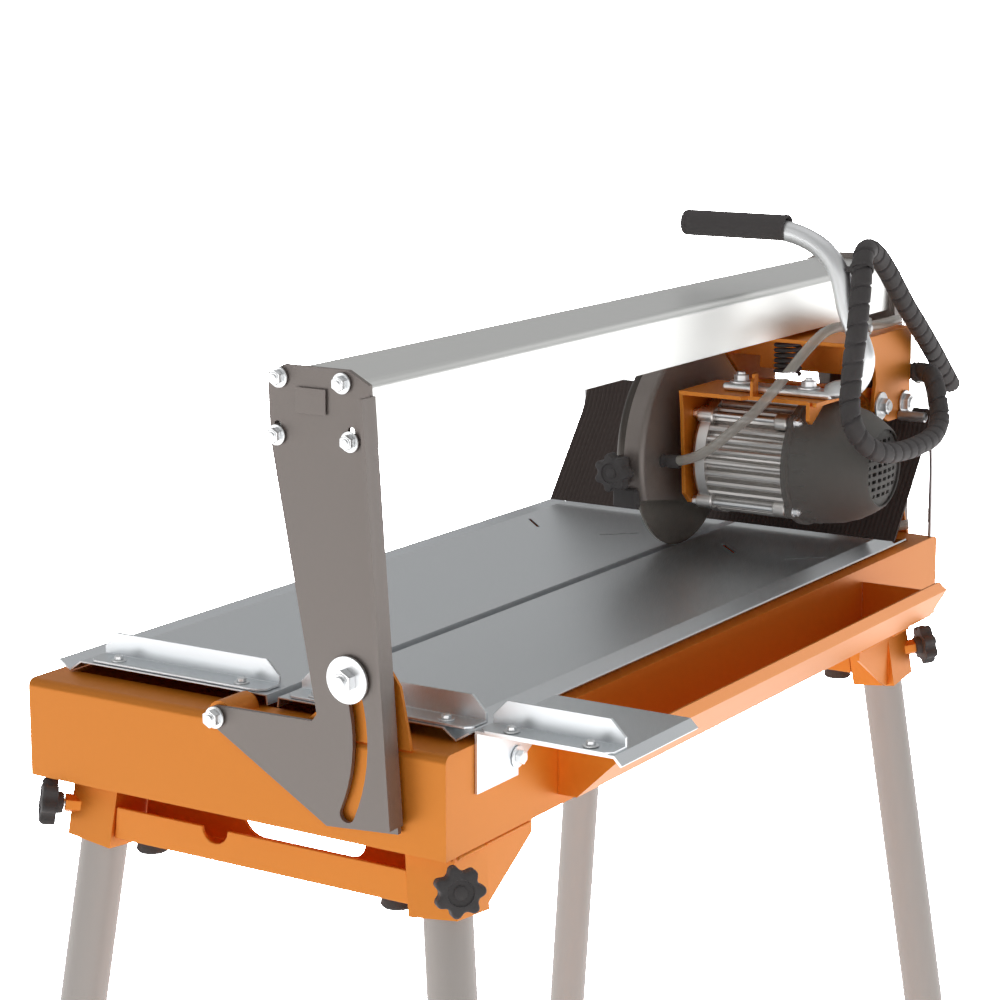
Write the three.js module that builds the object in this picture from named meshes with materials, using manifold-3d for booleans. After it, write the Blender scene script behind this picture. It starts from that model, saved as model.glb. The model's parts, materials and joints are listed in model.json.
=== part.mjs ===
// A bridge-type wet tile saw on four splayed legs, millimetres, +Z up.
//
// The drawing frame has X across the saw, Y along the rail towards the rear, and Z = 0 at the
// underside of the water tank. The exported group is moved once, at the end, so that its origin
// is on the floor below the middle of the saw.
import * as THREE from 'three';
import { mergeVertices } from 'three/addons/utils/BufferGeometryUtils.js';
import Module from 'manifold-3d';

const wasm = await Module();
wasm.setup();

// ---------------------------------------------------------------- driving dimensions
const GAP = 0.3; // running and resting clearance between neighbours
const BEND_SIDES = 16; // facets of a round piece

const TANK = { width: 420, length: 935, height: 84, sheet: 3, lip: 15, frontLip: 40, corner: 7 };
const HALF = TANK.width / 2;
const TABLE = { top: 95, sheet: 1.5, front: 36, rear: 860, gutter: 25, gutterDepth: 10 };
const FENCE = { front: 38, rear: 63, height: 22, sheet: 2.5 };
const SLOT = { left: 12, right: 26 }; // the blade runs between the two table edges
const BLADE = { x: 19, y: 726, z: 193, radius: 100, thickness: 2.2 };
const PIVOT = { x: -5, z: TANK.height }; // the bridge tilts about this line
const SLOT_ARC = { radius: 140, width: 14, lock: 21, end: -25 }; // degrees about the pivot
const RAIL = { left: 57, right: 146, bottom: 317, top: 368, wall: 3.5, mouth: 43, round: 8 };
const FRONT_PLATE = { near: -6, far: -2 };
const REAR_PLATE = { near: TANK.length + 2, far: TANK.length + 6 };
const CARRIAGE = { left: 46, right: 202, front: 716, rear: 871, top: 312, sheet: 4 };
const HINGE = { y: 858, z: 235, shaft: 8 }; // the motor head swings about this shaft
const MOTOR = { y: BLADE.y, z: BLADE.z, radius: 60, left: 58, body: 76, cover: 160, right: 242 };
const GUARD = { left: 1, right: 33, radius: 110, wall: 3 };
const LEG = { radius: 20, wall: 2, floor: -700, splayX: 0.121, splayY: 0.098 };
const SOCKET = { outer: 46, inner: 41.2, bottom: -56, screw: -29 };
const SOCKETS = { left: -157, right: 186, front: 38, rear: 851 };
const KNOB = { radius: 20.5, lobes: 7, height: 13, hub: 9, stem: 4 };
const HANDLE = { y: 690, radius: 10 };
const WRAP = { radius: 10 };
const HOSE = { radius: 5 };

// The drawing frame's point that becomes the exported origin.
const ORIGIN = new THREE.Vector3(39.3, 452.06, LEG.floor);

// ---------------------------------------------------------------- finishes
const finish = (color, roughness, metalness) =>
  new THREE.MeshStandardMaterial({ color, roughness, metalness });
const ORANGE = finish(0xe24a0a, 0.35, 0.0);
const GALVANISED = finish(0xb9c2c6, 0.4, 0.9);
const ZINC = finish(0xcdd0d2, 0.25, 1.0);
const ALUMINIUM = finish(0xd3d6d4, 0.4, 0.7);
const CAST = finish(0x9d9a94, 0.5, 0.8);
const GRAPHITE = finish(0x4a423d, 0.45, 0.1);
const LEG_PAINT = finish(0x7b7168, 0.35, 0.5);
const BLACK = finish(0x1d1b1a, 0.5, 0.0);
const RUBBER = finish(0x1b1513, 0.8, 0.0);
const STEEL = finish(0x8a8885, 0.3, 1.0);
const CLEAR = finish(0xd8cfc0, 0.15, 0.0);

// ---------------------------------------------------------------- solids and booleans
/** A closed three.js geometry as a manifold solid. */
function solid(geometry) {
  const bare = geometry.clone();
  bare.deleteAttribute('normal');
  bare.deleteAttribute('uv');
  const merged = mergeVertices(bare, 1e-4);
  const vertProperties = new Float32Array(merged.attributes.position.array);
  const triVerts = new Uint32Array(merged.index.array);
  return new wasm.Manifold(new wasm.Mesh({ numProp: 3, vertProperties, triVerts }));
}

/** A manifold solid as a three.js geometry. */
function surface(manifold) {
  const mesh = manifold.getMesh();
  const geometry = new THREE.BufferGeometry();
  geometry.setAttribute('position', new THREE.BufferAttribute(mesh.vertProperties, 3));
  geometry.setIndex(new THREE.BufferAttribute(mesh.triVerts, 1));
  return geometry;
}

const join = (first, ...rest) =>
  surface(rest.reduce((whole, piece) => whole.add(solid(piece)), solid(first)));
const cut = (first, ...tools) =>
  surface(tools.reduce((whole, tool) => whole.subtract(solid(tool)), solid(first)));

/** A box between two values on each axis. */
function block(x0, x1, y0, y1, z0, z1) {
  const box = new THREE.BoxGeometry(x1 - x0, y1 - y0, z1 - z0);
  return box.translate((x0 + x1) / 2, (y0 + y1) / 2, (z0 + z1) / 2);
}

/** Round bars along each axis, between two values on it. */
function barX(y, z, x0, x1, radius, sides = BEND_SIDES) {
  const bar = new THREE.CylinderGeometry(radius, radius, x1 - x0, sides);
  return bar.rotateZ(-Math.PI / 2).translate((x0 + x1) / 2, y, z);
}
function barY(x, z, y0, y1, radius, sides = BEND_SIDES) {
  const bar = new THREE.CylinderGeometry(radius, radius, y1 - y0, sides);
  return bar.translate(x, (y0 + y1) / 2, z);
}
function barZ(x, y, z0, z1, radius, sides = BEND_SIDES) {
  const bar = new THREE.CylinderGeometry(radius, radius, z1 - z0, sides);
  return bar.rotateX(Math.PI / 2).translate(x, y, (z0 + z1) / 2);
}

/** Slabs: an outline drawn across one axis and given a thickness along it. */
const extruded = (shape, depth) =>
  new THREE.ExtrudeGeometry(shape, { depth, bevelEnabled: false, curveSegments: 5 });
function slabX(shape, x0, x1) {
  const turn = new THREE.Matrix4().set(0, 0, 1, x0, 1, 0, 0, 0, 0, 1, 0, 0, 0, 0, 0, 1);
  return extruded(shape, x1 - x0).applyMatrix4(turn);
}
function slabY(shape, y0, y1) {
  const turn = new THREE.Matrix4().set(1, 0, 0, 0, 0, 0, -1, y1, 0, 1, 0, 0, 0, 0, 0, 1);
  return extruded(shape, y1 - y0).applyMatrix4(turn);
}
const slabZ = (shape, z0, z1) => extruded(shape, z1 - z0).translate(0, 0, z0);

/** A closed outline through corner points. */
const outline = (points) => new THREE.Shape(points.map(([a, b]) => new THREE.Vector2(a, b)));

/** The section of a folded sheet: a line of fold points, thickened to its left. */
function folded(points, thickness) {
  const line = points.map(([a, b]) => new THREE.Vector2(a, b));
  const inner = line.map((point, i) => {
    const ahead = line[Math.min(i + 1, line.length - 1)].clone();
    const after = ahead.sub(line[Math.min(i, line.length - 2)]).normalize();
    const here = line[Math.max(i, 1)].clone();
    const before = here.sub(line[Math.max(i - 1, 0)]).normalize();
    const normal = new THREE.Vector2(-(before.y + after.y), before.x + after.x).normalize();
    const spread = normal.dot(new THREE.Vector2(-after.y, after.x));
    return point.clone().addScaledVector(normal, thickness / spread);
  });
  return new THREE.Shape([...line, ...inner.reverse()]);
}

/** A round bar that follows a smooth curve through points. */
function bentBar(points, radius, steps, sides = 10) {
  const extrudePath = new THREE.CatmullRomCurve3(points.map((p) => new THREE.Vector3(...p)));
  const section = new THREE.Shape();
  section.absarc(0, 0, radius, 0, Math.PI * 2);
  return new THREE.ExtrudeGeometry(new THREE.Shape(section.getPoints(sides / 2).slice(0, -1)), {
    steps,
    extrudePath,
    bevelEnabled: false,
  });
}

/** The point at an angle and a distance from the tilt pivot, across the saw. */
function aboutPivot(degrees, radius) {
  const angle = THREE.MathUtils.degToRad(degrees);
  return [PIVOT.x + radius * Math.cos(angle), PIVOT.z + radius * Math.sin(angle)];
}

// ---------------------------------------------------------------- assembly
const saw = new THREE.Group();

/** Adds one named piece to a group. */
function add(group, name, geometry, material) {
  const mesh = new THREE.Mesh(geometry, material);
  mesh.name = name;
  group.add(mesh);
}

/** A new sub-assembly. */
function assembly() {
  const group = new THREE.Group();
  saw.add(group);
  return group;
}

// ---------------------------------------------------------------- tank and its fittings
const base = assembly();
const DRAIN = { x: -120, y: 897, radius: 11 };

function tank() {
  const { length, height, sheet, lip, frontLip, corner } = TANK;
  const side = new THREE.Shape();
  side.moveTo(0, 0);
  side.lineTo(length, 0);
  side.lineTo(length, height - corner);
  side.absarc(length - corner, height - corner, corner, 0, Math.PI / 2);
  side.lineTo(corner, height);
  side.absarc(corner, height - corner, corner, Math.PI / 2, Math.PI);
  const body = slabX(side, -HALF, HALF);
  const inner = HALF - sheet;
  const hollow = block(-inner, inner, sheet, length - sheet, sheet, height - sheet);
  const mouth = block(lip - HALF, HALF - lip, frontLip, length - frontLip, height / 2, height + 1);
  const drain = barZ(DRAIN.x, DRAIN.y, -1, sheet + 1, DRAIN.radius + GAP);
  const boss = 34;
  const ends = [[1, 4, -1.5, boss], [931, 934, length - boss, length + 1.5]];
  const shell = cut(body, hollow, mouth, drain);
  const [lockX, lockZ] = aboutPivot(SLOT_ARC.lock, SLOT_ARC.radius);
  const bores = ends.flatMap(([y0, y1, bossFrom, bossTo]) => [
    barY(PIVOT.x, PIVOT.z, bossFrom - 1, bossTo + 1, 4 + GAP),
    barY(lockX, lockZ, y0 - 1, y1 + 1, 5 + GAP),
  ]);
  return cut(join(shell, ...ends.map((end) => tiltBracket(...end))), ...bores);
}

/** The plug is a disc below the floor with a stem in the drain hole. */
function drainPlug() {
  const stem = barZ(DRAIN.x, DRAIN.y, -6, TANK.sheet + 5, DRAIN.radius);
  const head = barZ(DRAIN.x, DRAIN.y, -9, -GAP, DRAIN.radius + 6);
  return join(head, stem);
}

/** A bracket welded to the tank's lip: pivot boss at one end, room for the lock bolt at the other. */
function tiltBracket(y0, y1, bossFrom, bossTo) {
  const [lockX, lockZ] = aboutPivot(SLOT_ARC.lock, SLOT_ARC.radius);
  const foot = PIVOT.z - 1;
  const plate = slabY(outline([
    [PIVOT.x, foot], [178, foot], [168, lockZ - 2], [lockX + 26, lockZ + 20],
    [lockX - 4, lockZ + 30], [lockX - 26, lockZ + 14], [lockX - 32, foot + 22],
    [lockX - 48, foot + 9], [PIVOT.x, foot + 9],
  ]), y0, y1);
  return join(plate, barY(PIVOT.x, PIVOT.z, bossFrom, bossTo, 12));
}

/** A bolt along Y with its head, its washer and its nut, all one piece. */
function boltY(x, z, head, washer, shank, nut, sizes) {
  const pieces = [
    barY(x, z, head[0], head[1], sizes.head, 6),
    barY(x, z, washer[0], washer[1], sizes.washer),
    barY(x, z, shank[0], shank[1], sizes.shank, 12),
    barY(x, z, nut[0], nut[1], sizes.head, 6),
  ];
  return join(...pieces);
}

function crossMember(front, back, tall) {
  const depth = SOCKET.bottom + 8;
  const web = 3;
  const top = -GAP;
  const towards = Math.sign(tall - front);
  const low = towards > 0 ? [front, front + web] : [front - web, front];
  const high = towards > 0 ? [back - web, back] : [back, back + web];
  const shortSide = block(SOCKETS.left, SOCKETS.right, low[0], low[1], depth, -20);
  const floor = block(SOCKETS.left, SOCKETS.right, Math.min(low[0], high[0]),
    Math.max(low[1], high[1]), depth, depth + web);
  const tallSide = block(SOCKETS.left, SOCKETS.right, high[0], high[1], depth, top);
  const window = new THREE.Shape();
  window.moveTo(-30, 1);
  window.lineTo(-30, -14);
  window.absarc(-8, -14, 22, Math.PI, Math.PI * 1.5);
  window.lineTo(80, -36);
  window.absarc(80, -22, 14, Math.PI * 1.5, Math.PI * 2);
  window.lineTo(94, 1);
  const dip = barY(-28, -20, low[0] - 1, low[1] + 1, 13);
  const whole = cut(join(shortSide, floor, tallSide), slabY(window, high[0] - 1, high[1] + 1), dip);
  const corners = [SOCKETS.left, SOCKETS.right].map((x) =>
    socketBlock(x, (front + back) / 2 > TANK.length / 2 ? SOCKETS.rear : SOCKETS.front, 0.8));
  return cut(whole, ...corners);
}

// ---------------------------------------------------------------- legs, sockets and knobs
/** Turns a geometry drawn along Z so that it leans outwards with one leg, and puts it there. */
function lean(geometry, x, y) {
  const outX = Math.sign(x - 10) * LEG.splayX;
  const outY = Math.sign(y - TANK.length / 2) * LEG.splayY;
  const down = new THREE.Vector3(outX, outY, -1).normalize();
  const turn = new THREE.Quaternion().setFromUnitVectors(new THREE.Vector3(0, 0, -1), down);
  const height = SOCKET.screw;
  return geometry.translate(0, 0, -height).applyQuaternion(turn).translate(x, y, height);
}

/** The leaning block that a socket fills, with some room round it. */
const socketBlock = (x, y, room) =>
  lean(block(...[-1, 1, -1, 1].map((s) => s * (SOCKET.outer / 2 + room)), SOCKET.bottom - 9, 40), x, y);

/** The direction, across the floor, in which a leg's clamping knob points. */
function knobTurn(x, y) {
  return Math.atan2(y > TANK.length / 2 ? 1 : -1, x > 0 ? 1 : -1);
}

/** Draws a piece along X from the socket's middle and swings it to the knob's diagonal. */
const atKnob = (geometry, x, y) =>
  lean(geometry.rotateZ(knobTurn(x, y)).translate(0, 0, SOCKET.screw), x, y);

function socket(x, y) {
  const half = SOCKET.outer / 2;
  const hole = SOCKET.inner / 2;
  const tube = lean(block(-half, half, -half, half, SOCKET.bottom, 40), x, y);
  const bore = lean(block(-hole, hole, -hole, hole, SOCKET.bottom - 5, 45), x, y);
  const nut = atKnob(barX(0, 0, half, half * Math.SQRT2 + 6, 8, 6), x, y);
  const screwHole = atKnob(barX(0, 0, 0, half * 2, KNOB.stem + GAP, 12), x, y);
  const edge = x > 0 ? [x + 17, x + 20] : [x - 20, x - 17];
  const inward = y > TANK.length / 2 ? -1 : 1;
  const gusset = slabX(outline([
    [y + inward * 20, -1], [y + inward * 94, -1], [y + inward * 94, -13],
    [y + inward * 29, SOCKET.bottom + 2], [y + inward * 20, SOCKET.bottom + 2],
  ]), ...edge);
  const above = block(x - 80, x + 80, y - 120, y + 120, -GAP, 80);
  return cut(join(tube, nut, gusset), bore, screwHole, above);
}

function leg(x, y) {
  const { radius, wall, floor } = LEG;
  const top = -4;
  const long = new THREE.CylinderGeometry(radius, radius, 900, BEND_SIDES);
  const bore = new THREE.CylinderGeometry(radius - wall, radius - wall, 1000, BEND_SIDES);
  const tube = cut(long.rotateX(Math.PI / 2).translate(0, 0, -450 + top),
    bore.rotateX(Math.PI / 2).translate(0, 0, -400));
  return cut(lean(tube, x, y), block(-600, 600, -600, 1600, -1200, floor + 6));
}

/** A rubber boot closes the leg's end and rests flat on the floor. */
function legTip(x, y) {
  const { radius, wall, floor } = LEG;
  const boot = new THREE.CylinderGeometry(radius + 4, radius + 4, 200, BEND_SIDES);
  const sleeve = lean(boot.rotateX(Math.PI / 2).translate(0, 0, floor + 65), x, y);
  const inside = new THREE.CylinderGeometry(radius + GAP, radius + GAP, 300, BEND_SIDES);
  const room = lean(inside.rotateX(Math.PI / 2).translate(0, 0, floor + 65), x, y);
  const pegBar = new THREE.CylinderGeometry(radius - wall - GAP, radius - wall - GAP, 200, 16);
  const peg = lean(pegBar.rotateX(Math.PI / 2).translate(0, 0, floor + 65), x, y);
  const all = [-600, 600, -600, 1600];
  const shell = cut(sleeve, block(...all, floor + 45, 400), block(...all, -1200, floor));
  const hollow = cut(room, block(...all, -1200, floor + 5.7));
  const plug = cut(peg, block(...all, floor + 30, 400), block(...all, -1200, floor + 2));
  return join(cut(shell, hollow), plug);
}

/** A star knob drawn along X: lobed grip, hub and threaded stem. */
function starKnob(from, stemFrom) {
  const star = new THREE.Shape();
  const count = KNOB.lobes * 4;
  const points = Array.from({ length: count }, (_, i) => {
    const angle = (i / count) * Math.PI * 2;
    const reach = KNOB.radius * (0.9 + 0.1 * Math.cos(angle * KNOB.lobes));
    return new THREE.Vector2(reach * Math.cos(angle), reach * Math.sin(angle));
  });
  star.setFromPoints(points);
  const grip = slabX(star, from + 6, from + 6 + KNOB.height);
  return join(grip, barX(0, 0, from, from + 7, KNOB.hub, 16), barX(0, 0, stemFrom, from + 1, KNOB.stem, 12));
}

// ---------------------------------------------------------------- tables, fences and side parts
/** One of the two tables: flat top, gutter at its outer edge, folded lip along the slot. */
function table(slotX, outerX) {
  const { top, sheet, front, rear, gutter, gutterDepth } = TABLE;
  const out = Math.sign(outerX - slotX);
  const line = [
    [slotX - out * 1, top - 9],
    [slotX, top - sheet],
    [outerX - out * gutter, top - sheet],
    [outerX - out * (gutter / 2), top - sheet - gutterDepth + 1.2],
    [outerX, top - sheet - 1],
  ];
  const section = folded(out > 0 ? line : line.reverse(), sheet);
  const plate = slabY(section, front, rear);
  const slots = [[0.28, -1], [0.75, 1]].map(([across, lean45]) => {
    const x = slotX + (outerX - slotX) * across;
    const mark = new THREE.BoxGeometry(42, 3.2, 8);
    return mark.rotateZ(out * lean45 * Math.PI / 4).translate(x, rear - 142, top);
  });
  const ledge = block(-HALF, HALF, front - 1, FENCE.rear + 1, top - GAP, top + 1);
  return cut(plate, ledge, ...slots);
}

/** An angle stop for the tile: a base strip and an upright with clipped corners. */
function fence(x0, x1, z = TABLE.top) {
  const { front, rear, height, sheet } = FENCE;
  const baseStrip = slabZ(outline([
    [x0, front + 6], [x0 + 6, front], [x1 - 6, front], [x1, front + 6], [x1, rear], [x0, rear],
  ]), z, z + sheet);
  const upright = slabY(outline([
    [x0, z], [x1, z], [x1, z + 9], [x1 - 13, z + height], [x0 + 13, z + height], [x0, z + 9],
  ]), rear - sheet, rear);
  return join(baseStrip, upright);
}

/** The small side table: a top with its own stop, folded from the plate bolted to the tank. */
function sideTable() {
  const x = HALF + GAP;
  const sheet = 2.5;
  const top = TABLE.top;
  const section = folded([[x, 44], [x, top], [334, top], [341, top - 7]].reverse(), sheet);
  const whole = slabY(section, 40, 160);
  const below = slabX(outline([[100, 30], [170, 30], [170, 86], [160, 86], [100, 52]]), x - 5, x + 6);
  return cut(join(whole, fence(x + 4, 332, top - 0.5)), below);
}

/** The spill wing along the right side: a folded sheet with a gusset at each end and a raked rear. */
function sideWing() {
  const x = HALF + GAP;
  const section = folded([[x, 10], [228, 10], [284, 64], [284, 76]], 2);
  const [front, rear, rake] = [165, 886, 760];
  const strip = slabY(section, front, rear);
  const beyond = slabX(outline([[rear + 5, 5], [rake + 3, 79], [rake + 3, 95], [rear + 9, 95], [rear + 9, 5]]), 200.5, 300);
  const gusset = outline([[x, 10], [228, 10], [283, 63], [283, 70], [x, 70]]);
  return cut(join(strip, slabY(gusset, front, front + 2), slabY(gusset, rake - 9, rake - 7)), beyond);
}

/** The splash curtain hangs from its frame in a curve and lies on the tank's rear. */
function curtain() {
  const line = [[822, 99], [835, 116], [852, 138], [872, 164], [892, 191], [905, 222]];
  return slabX(folded(line, 3), -195, 212);
}

/** The wire frame that carries the curtain: two feet on the rear lip and a cross bar. */
function curtainFrame() {
  const foot = TANK.height + GAP;
  const path = [
    [-205, 926, foot], [-205, 925, 150], [-205, 914, 205], [-198, 911, 216], [-188, 910, 219],
    [0, 910, 219], [190, 910, 219], [200, 911, 216], [207, 914, 205], [207, 925, 150], [207, 926, foot],
  ];
  return cut(bentBar(path, 3, 32, 6), block(-300, 300, 800, 1000, 0, foot));
}

function pump() {
  const body = block(122, 178, 845, 891, TANK.sheet + GAP, 52);
  return join(body, barZ(150, 878, 50, 62, 7, 12));
}

// ---------------------------------------------------------------- bridge
/** One end plate of the bridge, with its arm, its arc slot and its stiffening flange. */
function bridgePlate(y0, y1, flangeFrom, flangeTo) {
  const plate = new THREE.Shape();
  plate.moveTo(102, 12);
  plate.lineTo(170, 17);
  plate.lineTo(147, 364);
  plate.lineTo(128, 374);
  plate.lineTo(68, 374);
  plate.lineTo(52, 366);
  plate.lineTo(54, 314);
  plate.lineTo(94, 101);
  plate.lineTo(89, 95);
  plate.lineTo(PIVOT.x, PIVOT.z + 9);
  plate.absarc(PIVOT.x, PIVOT.z, 9, Math.PI / 2, Math.PI * 1.25);
  plate.closePath();
  const { radius, width, lock, end } = SLOT_ARC;
  const slot = new THREE.Shape();
  const [from, to] = [end, lock].map(THREE.MathUtils.degToRad);
  slot.absarc(PIVOT.x, PIVOT.z, radius + width / 2, from, to);
  slot.absarc(...aboutPivot(lock, radius), width / 2, to, to + Math.PI);
  slot.absarc(PIVOT.x, PIVOT.z, radius - width / 2, to, from, true);
  slot.absarc(...aboutPivot(end, radius), width / 2, from + Math.PI, from + Math.PI * 2);
  const flange = slabY(outline([[169.5, 24], [172.5, 24], [150.5, 356], [147.5, 356]]), flangeFrom, flangeTo);
  const bore = barY(PIVOT.x, PIVOT.z, y0 - 1, y1 + 1, 4 + GAP);
  return cut(join(slabY(plate, y0, y1), flange), slabY(slot, y0 - 1, y1 + 1), bore);
}

/** The rail: a rounded box section with a slot along its underside. */
function rail() {
  const { left, right, bottom, top, wall, mouth, round } = RAIL;
  const middle = (left + right) / 2;
  const outer = new THREE.Shape();
  outer.moveTo(left, bottom);
  outer.lineTo(right, bottom);
  outer.lineTo(right, top - round);
  outer.absarc(right - round, top - round, round, 0, Math.PI / 2);
  outer.lineTo(left + round, top);
  outer.absarc(left + round, top - round, round, Math.PI / 2, Math.PI);
  const [y0, y1] = [FRONT_PLATE.far + GAP, REAR_PLATE.near - GAP];
  const bar = slabY(outer, y0, y1);
  const hollow = block(left + wall, right - wall, y0 - 1, y1 + 1, bottom + wall, top - wall);
  const slot = block(middle - mouth / 2, middle + mouth / 2, y0 - 1, y1 + 1, bottom - 1, bottom + 6);
  return cut(bar, hollow, slot);
}

// ---------------------------------------------------------------- carriage
const ROCKER = { y: 899, z: 271, turn: THREE.MathUtils.degToRad(-7) };
const ROLLER = { radius: 17, width: 14, bore: 5, z: RAIL.bottom + RAIL.wall + 17 + GAP };
const ROLLERS = [
  ['front_left', 64, 744], ['front_right', 125, 744], ['rear_left', 64, 842], ['rear_right', 125, 842],
];

/** The carriage under the rail: top plate, two cheeks, a cross plate and the roller block. */
function carriageFrame() {
  const { left, right, front, rear, top, sheet } = CARRIAGE;
  const roof = block(left, right, front, rear, top - sheet, top);
  const leftCheek = slabX(outline([
    [760, top - 1], [760, 286], [796, 256], [800, 222], [868, 222], [rear, 232], [rear, top - 1],
  ]), left, left + sheet);
  const edge = new THREE.Shape();
  edge.moveTo(745, top - 1);
  edge.quadraticCurveTo(800, 285, 784, 250);
  edge.lineTo(784, 236);
  edge.lineTo(820, 221);
  edge.lineTo(rear - 10, 221);
  edge.absarc(rear - 10, 231, 10, -Math.PI / 2, 0);
  edge.lineTo(rear, top - 1);
  const rightCheek = slabX(edge, right - sheet, right);
  const crossPlate = block(80, 178, 774, 777, 272, top - 1);
  const tie = block(left + 1, 85, 774, 777, 284, top - 1);
  const middle = (RAIL.left + RAIL.right) / 2;
  const stalk = block(middle - 16, middle + 16, 724, 862, top - 1, ROLLER.z + 9);
  const pins = [744, 842].map((y) => barX(y, ROLLER.z, 63, 140, ROLLER.bore, 12));
  const hinge = barX(HINGE.y, HINGE.z, left - 1, right + 1, HINGE.shaft + GAP);
  return cut(join(roof, leftCheek, rightCheek, crossPlate, tie, stalk, ...pins), hinge);
}

const roller = (x, y) =>
  cut(
    barX(y, ROLLER.z, x, x + ROLLER.width, ROLLER.radius),
    barX(y, ROLLER.z, x - 1, x + 20, ROLLER.bore + GAP, 12),
  );

/** The hinge shaft of the motor head with a bolt head at each end. */
function hingeShaft() {
  const { y, z, shaft } = HINGE;
  const { left, right } = CARRIAGE;
  return join(barX(y, z, left - 10, right + 10, shaft, 16), barX(y, z, left - 10, left - GAP, 13, 6),
    barX(y, z, right + GAP, right + 9, 13, 6));
}

/** The return spring stands for its outer envelope between the roof and the head. */
const spring = () => barZ(131, 735, 273, CARRIAGE.top - CARRIAGE.sheet - GAP, 14, 16);

function switchBox() {
  const box = block(112, 172, CARRIAGE.rear + GAP, 903, 240, 300);
  const window = block(132, 152, 893, 905, 258, 284);
  const gland = join(barX(885, 263, 171, 186, 10, 6), barX(885, 263, 185, 200, 8, 12));
  return cut(join(box, gland), window);
}

/** The rocker rests in its off position, turned half its travel one way. */
function switchRocker() {
  const { y, z, turn } = ROCKER;
  const half = slabX(outline([[-2, -10], [3, -10], [6, -9], [4.5, 0], [6, 9], [3, 10], [-2, 10]]), 133, 151);
  return half.rotateX(turn).translate(0, y, z);
}

// ---------------------------------------------------------------- motor head
function motorBracket() {
  const endPlate = slabX(outline([
    [664, 158], [676, 147], [776, 147], [788, 158], [780, 240], [736, 262], [655, 262], [658, 240],
  ]), 52, 56);
  const roof = slabZ(outline([
    [52, 655], [120, 655], [124, 662], [190, 662], [196, 656], [200, 656], [200, 736], [52, 736],
  ]), 258, 262);
  const arm = outline([
    [700, 262], [740, 262], [775, 260], [858, 248], [870, 241], [871, 229], [858, 223], [812, 225],
    [790, 247], [768, 258], [700, 258],
  ]);
  const lugLine = [[656, 262], [720, 262], [720, 259], [690, 258], [672, 246], [662, 240], [656, 244]];
  const lug = slabX(outline(lugLine), 189, 193);
  const hookLine = [[662, 261], [674, 261], [674, 283], [666, 283], [666, 279], [662, 276]];
  const hook = slabX(outline(hookLine), 126, 129);
  const tube = barX(HINGE.y, HINGE.z, 68, 194, 12);
  const bore = barX(HINGE.y, HINGE.z, 60, 200, HINGE.shaft + GAP, 16);
  const spigot = barX(MOTOR.y, MOTOR.z, 50, 58, 24);
  return cut(join(endPlate, roof, slabX(arm, 67, 71), slabX(arm, 189, 193), lug, hook, tube), bore, spigot);
}

/** The motor: drive-end shield with four lugs, and a finned barrel, bored for the rotor. */
function motorHousing() {
  const { y, z, radius, left, body, cover } = MOTOR;
  const fins = 16;
  const tooth = [[-0.5, 0.87], [-0.24, 0.87], [-0.2, 1], [0.2, 1], [0.24, 0.87]];
  const points = Array.from({ length: fins }, (_, i) => tooth.map(([shift, reach]) => {
    const angle = ((i + shift) / fins) * Math.PI * 2;
    return [y + radius * reach * Math.cos(angle), z + radius * reach * Math.sin(angle)];
  })).flat();
  const barrel = slabX(outline(points), body, cover - GAP);
  const shield = barX(y, z, left, body + 1, radius + 1, 24);
  const lugs = [45, 135, 225, 315].map((degrees) => {
    const angle = THREE.MathUtils.degToRad(degrees);
    return barX(y + 60 * Math.cos(angle), z + 60 * Math.sin(angle), left + 4, body + 2, 8, 12);
  });
  const room = barX(y, z, body - 6, cover + 1, 44);
  const bearing = barX(y, z, left - 1, body, 8 + GAP, 16);
  return cut(join(shield, barrel, ...lugs), room, bearing);
}

/** The shaft with the rotor core, the inner blade flange and the cooling fan fixed on it. */
function motorShaft() {
  const { y, z } = MOTOR;
  const vanes = Array.from({ length: 6 }, (_, i) => {
    const vane = block(207, 219, 12, 44, -1.5, 1.5);
    return vane.rotateX(i * Math.PI / 3).translate(0, y, z);
  });
  return join(barX(y, z, 4, 226, 8, 16), barX(y, z, 84, 152, 30), barX(y, z, 20.4, 27, 22),
    barX(y, z, 206, 220, 15), ...vanes);
}

/** The plastic cover over the fan: a flared cup with a slotted end. */
function fanCover() {
  const { y, z, cover, right } = MOTOR;
  const profile = (reach) => new THREE.LatheGeometry(reach.map(([r, x]) => new THREE.Vector2(r, x)), 20);
  const place = (geometry) => geometry.rotateZ(-Math.PI / 2).translate(0, y, z);
  const outside = place(profile([[0, cover], [64, cover], [64, 186], [58, 222], [50, 236], [40, right], [0, right]]));
  const inside = place(profile([[0, cover - 5], [60.5, cover - 5], [60.5, 184], [54, 220], [46, 234], [0, 236]]));
  const slots = [-30, -18, -6, 6, 18, 30].map((shift) => {
    const reach = Math.sqrt(38 ** 2 - shift ** 2) - 2;
    return block(230, right + 5, y + shift - 3.5, y + shift + 3.5, z - reach, z + reach);
  });
  return cut(outside, inside, ...slots);
}

/** A blade guard half: a slice of the drum round the blade, open below. */
function guardHalf(x0, x1, inner0, inner1, holeRadius) {
  const { radius, wall } = GUARD;
  const { y, z } = BLADE;
  const drum = barX(y, z, x0, x1, radius, 36);
  const room = barX(y, z, inner0, inner1, radius - wall, 36);
  const below = slabX(outline([[600, 0], [850, 0], [850, 118], [750, 134], [600, 160]]), x0 - 1, x1 + 1);
  const hole = barX(y, z, x0 - 1, x1 + 1, holeRadius);
  return cut(drum, room, below, hole);
}

function guardShell() {
  const half = guardHalf(15, GUARD.right, 10, GUARD.right - GUARD.wall, 24);
  const bridge = block(GUARD.right - 2, 52 - GAP, 700, 752, 228, 240);
  const spout = barX(654, 191, GUARD.right - 2, GUARD.right + 5, 7, 12);
  return join(half, bridge, spout);
}

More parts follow.
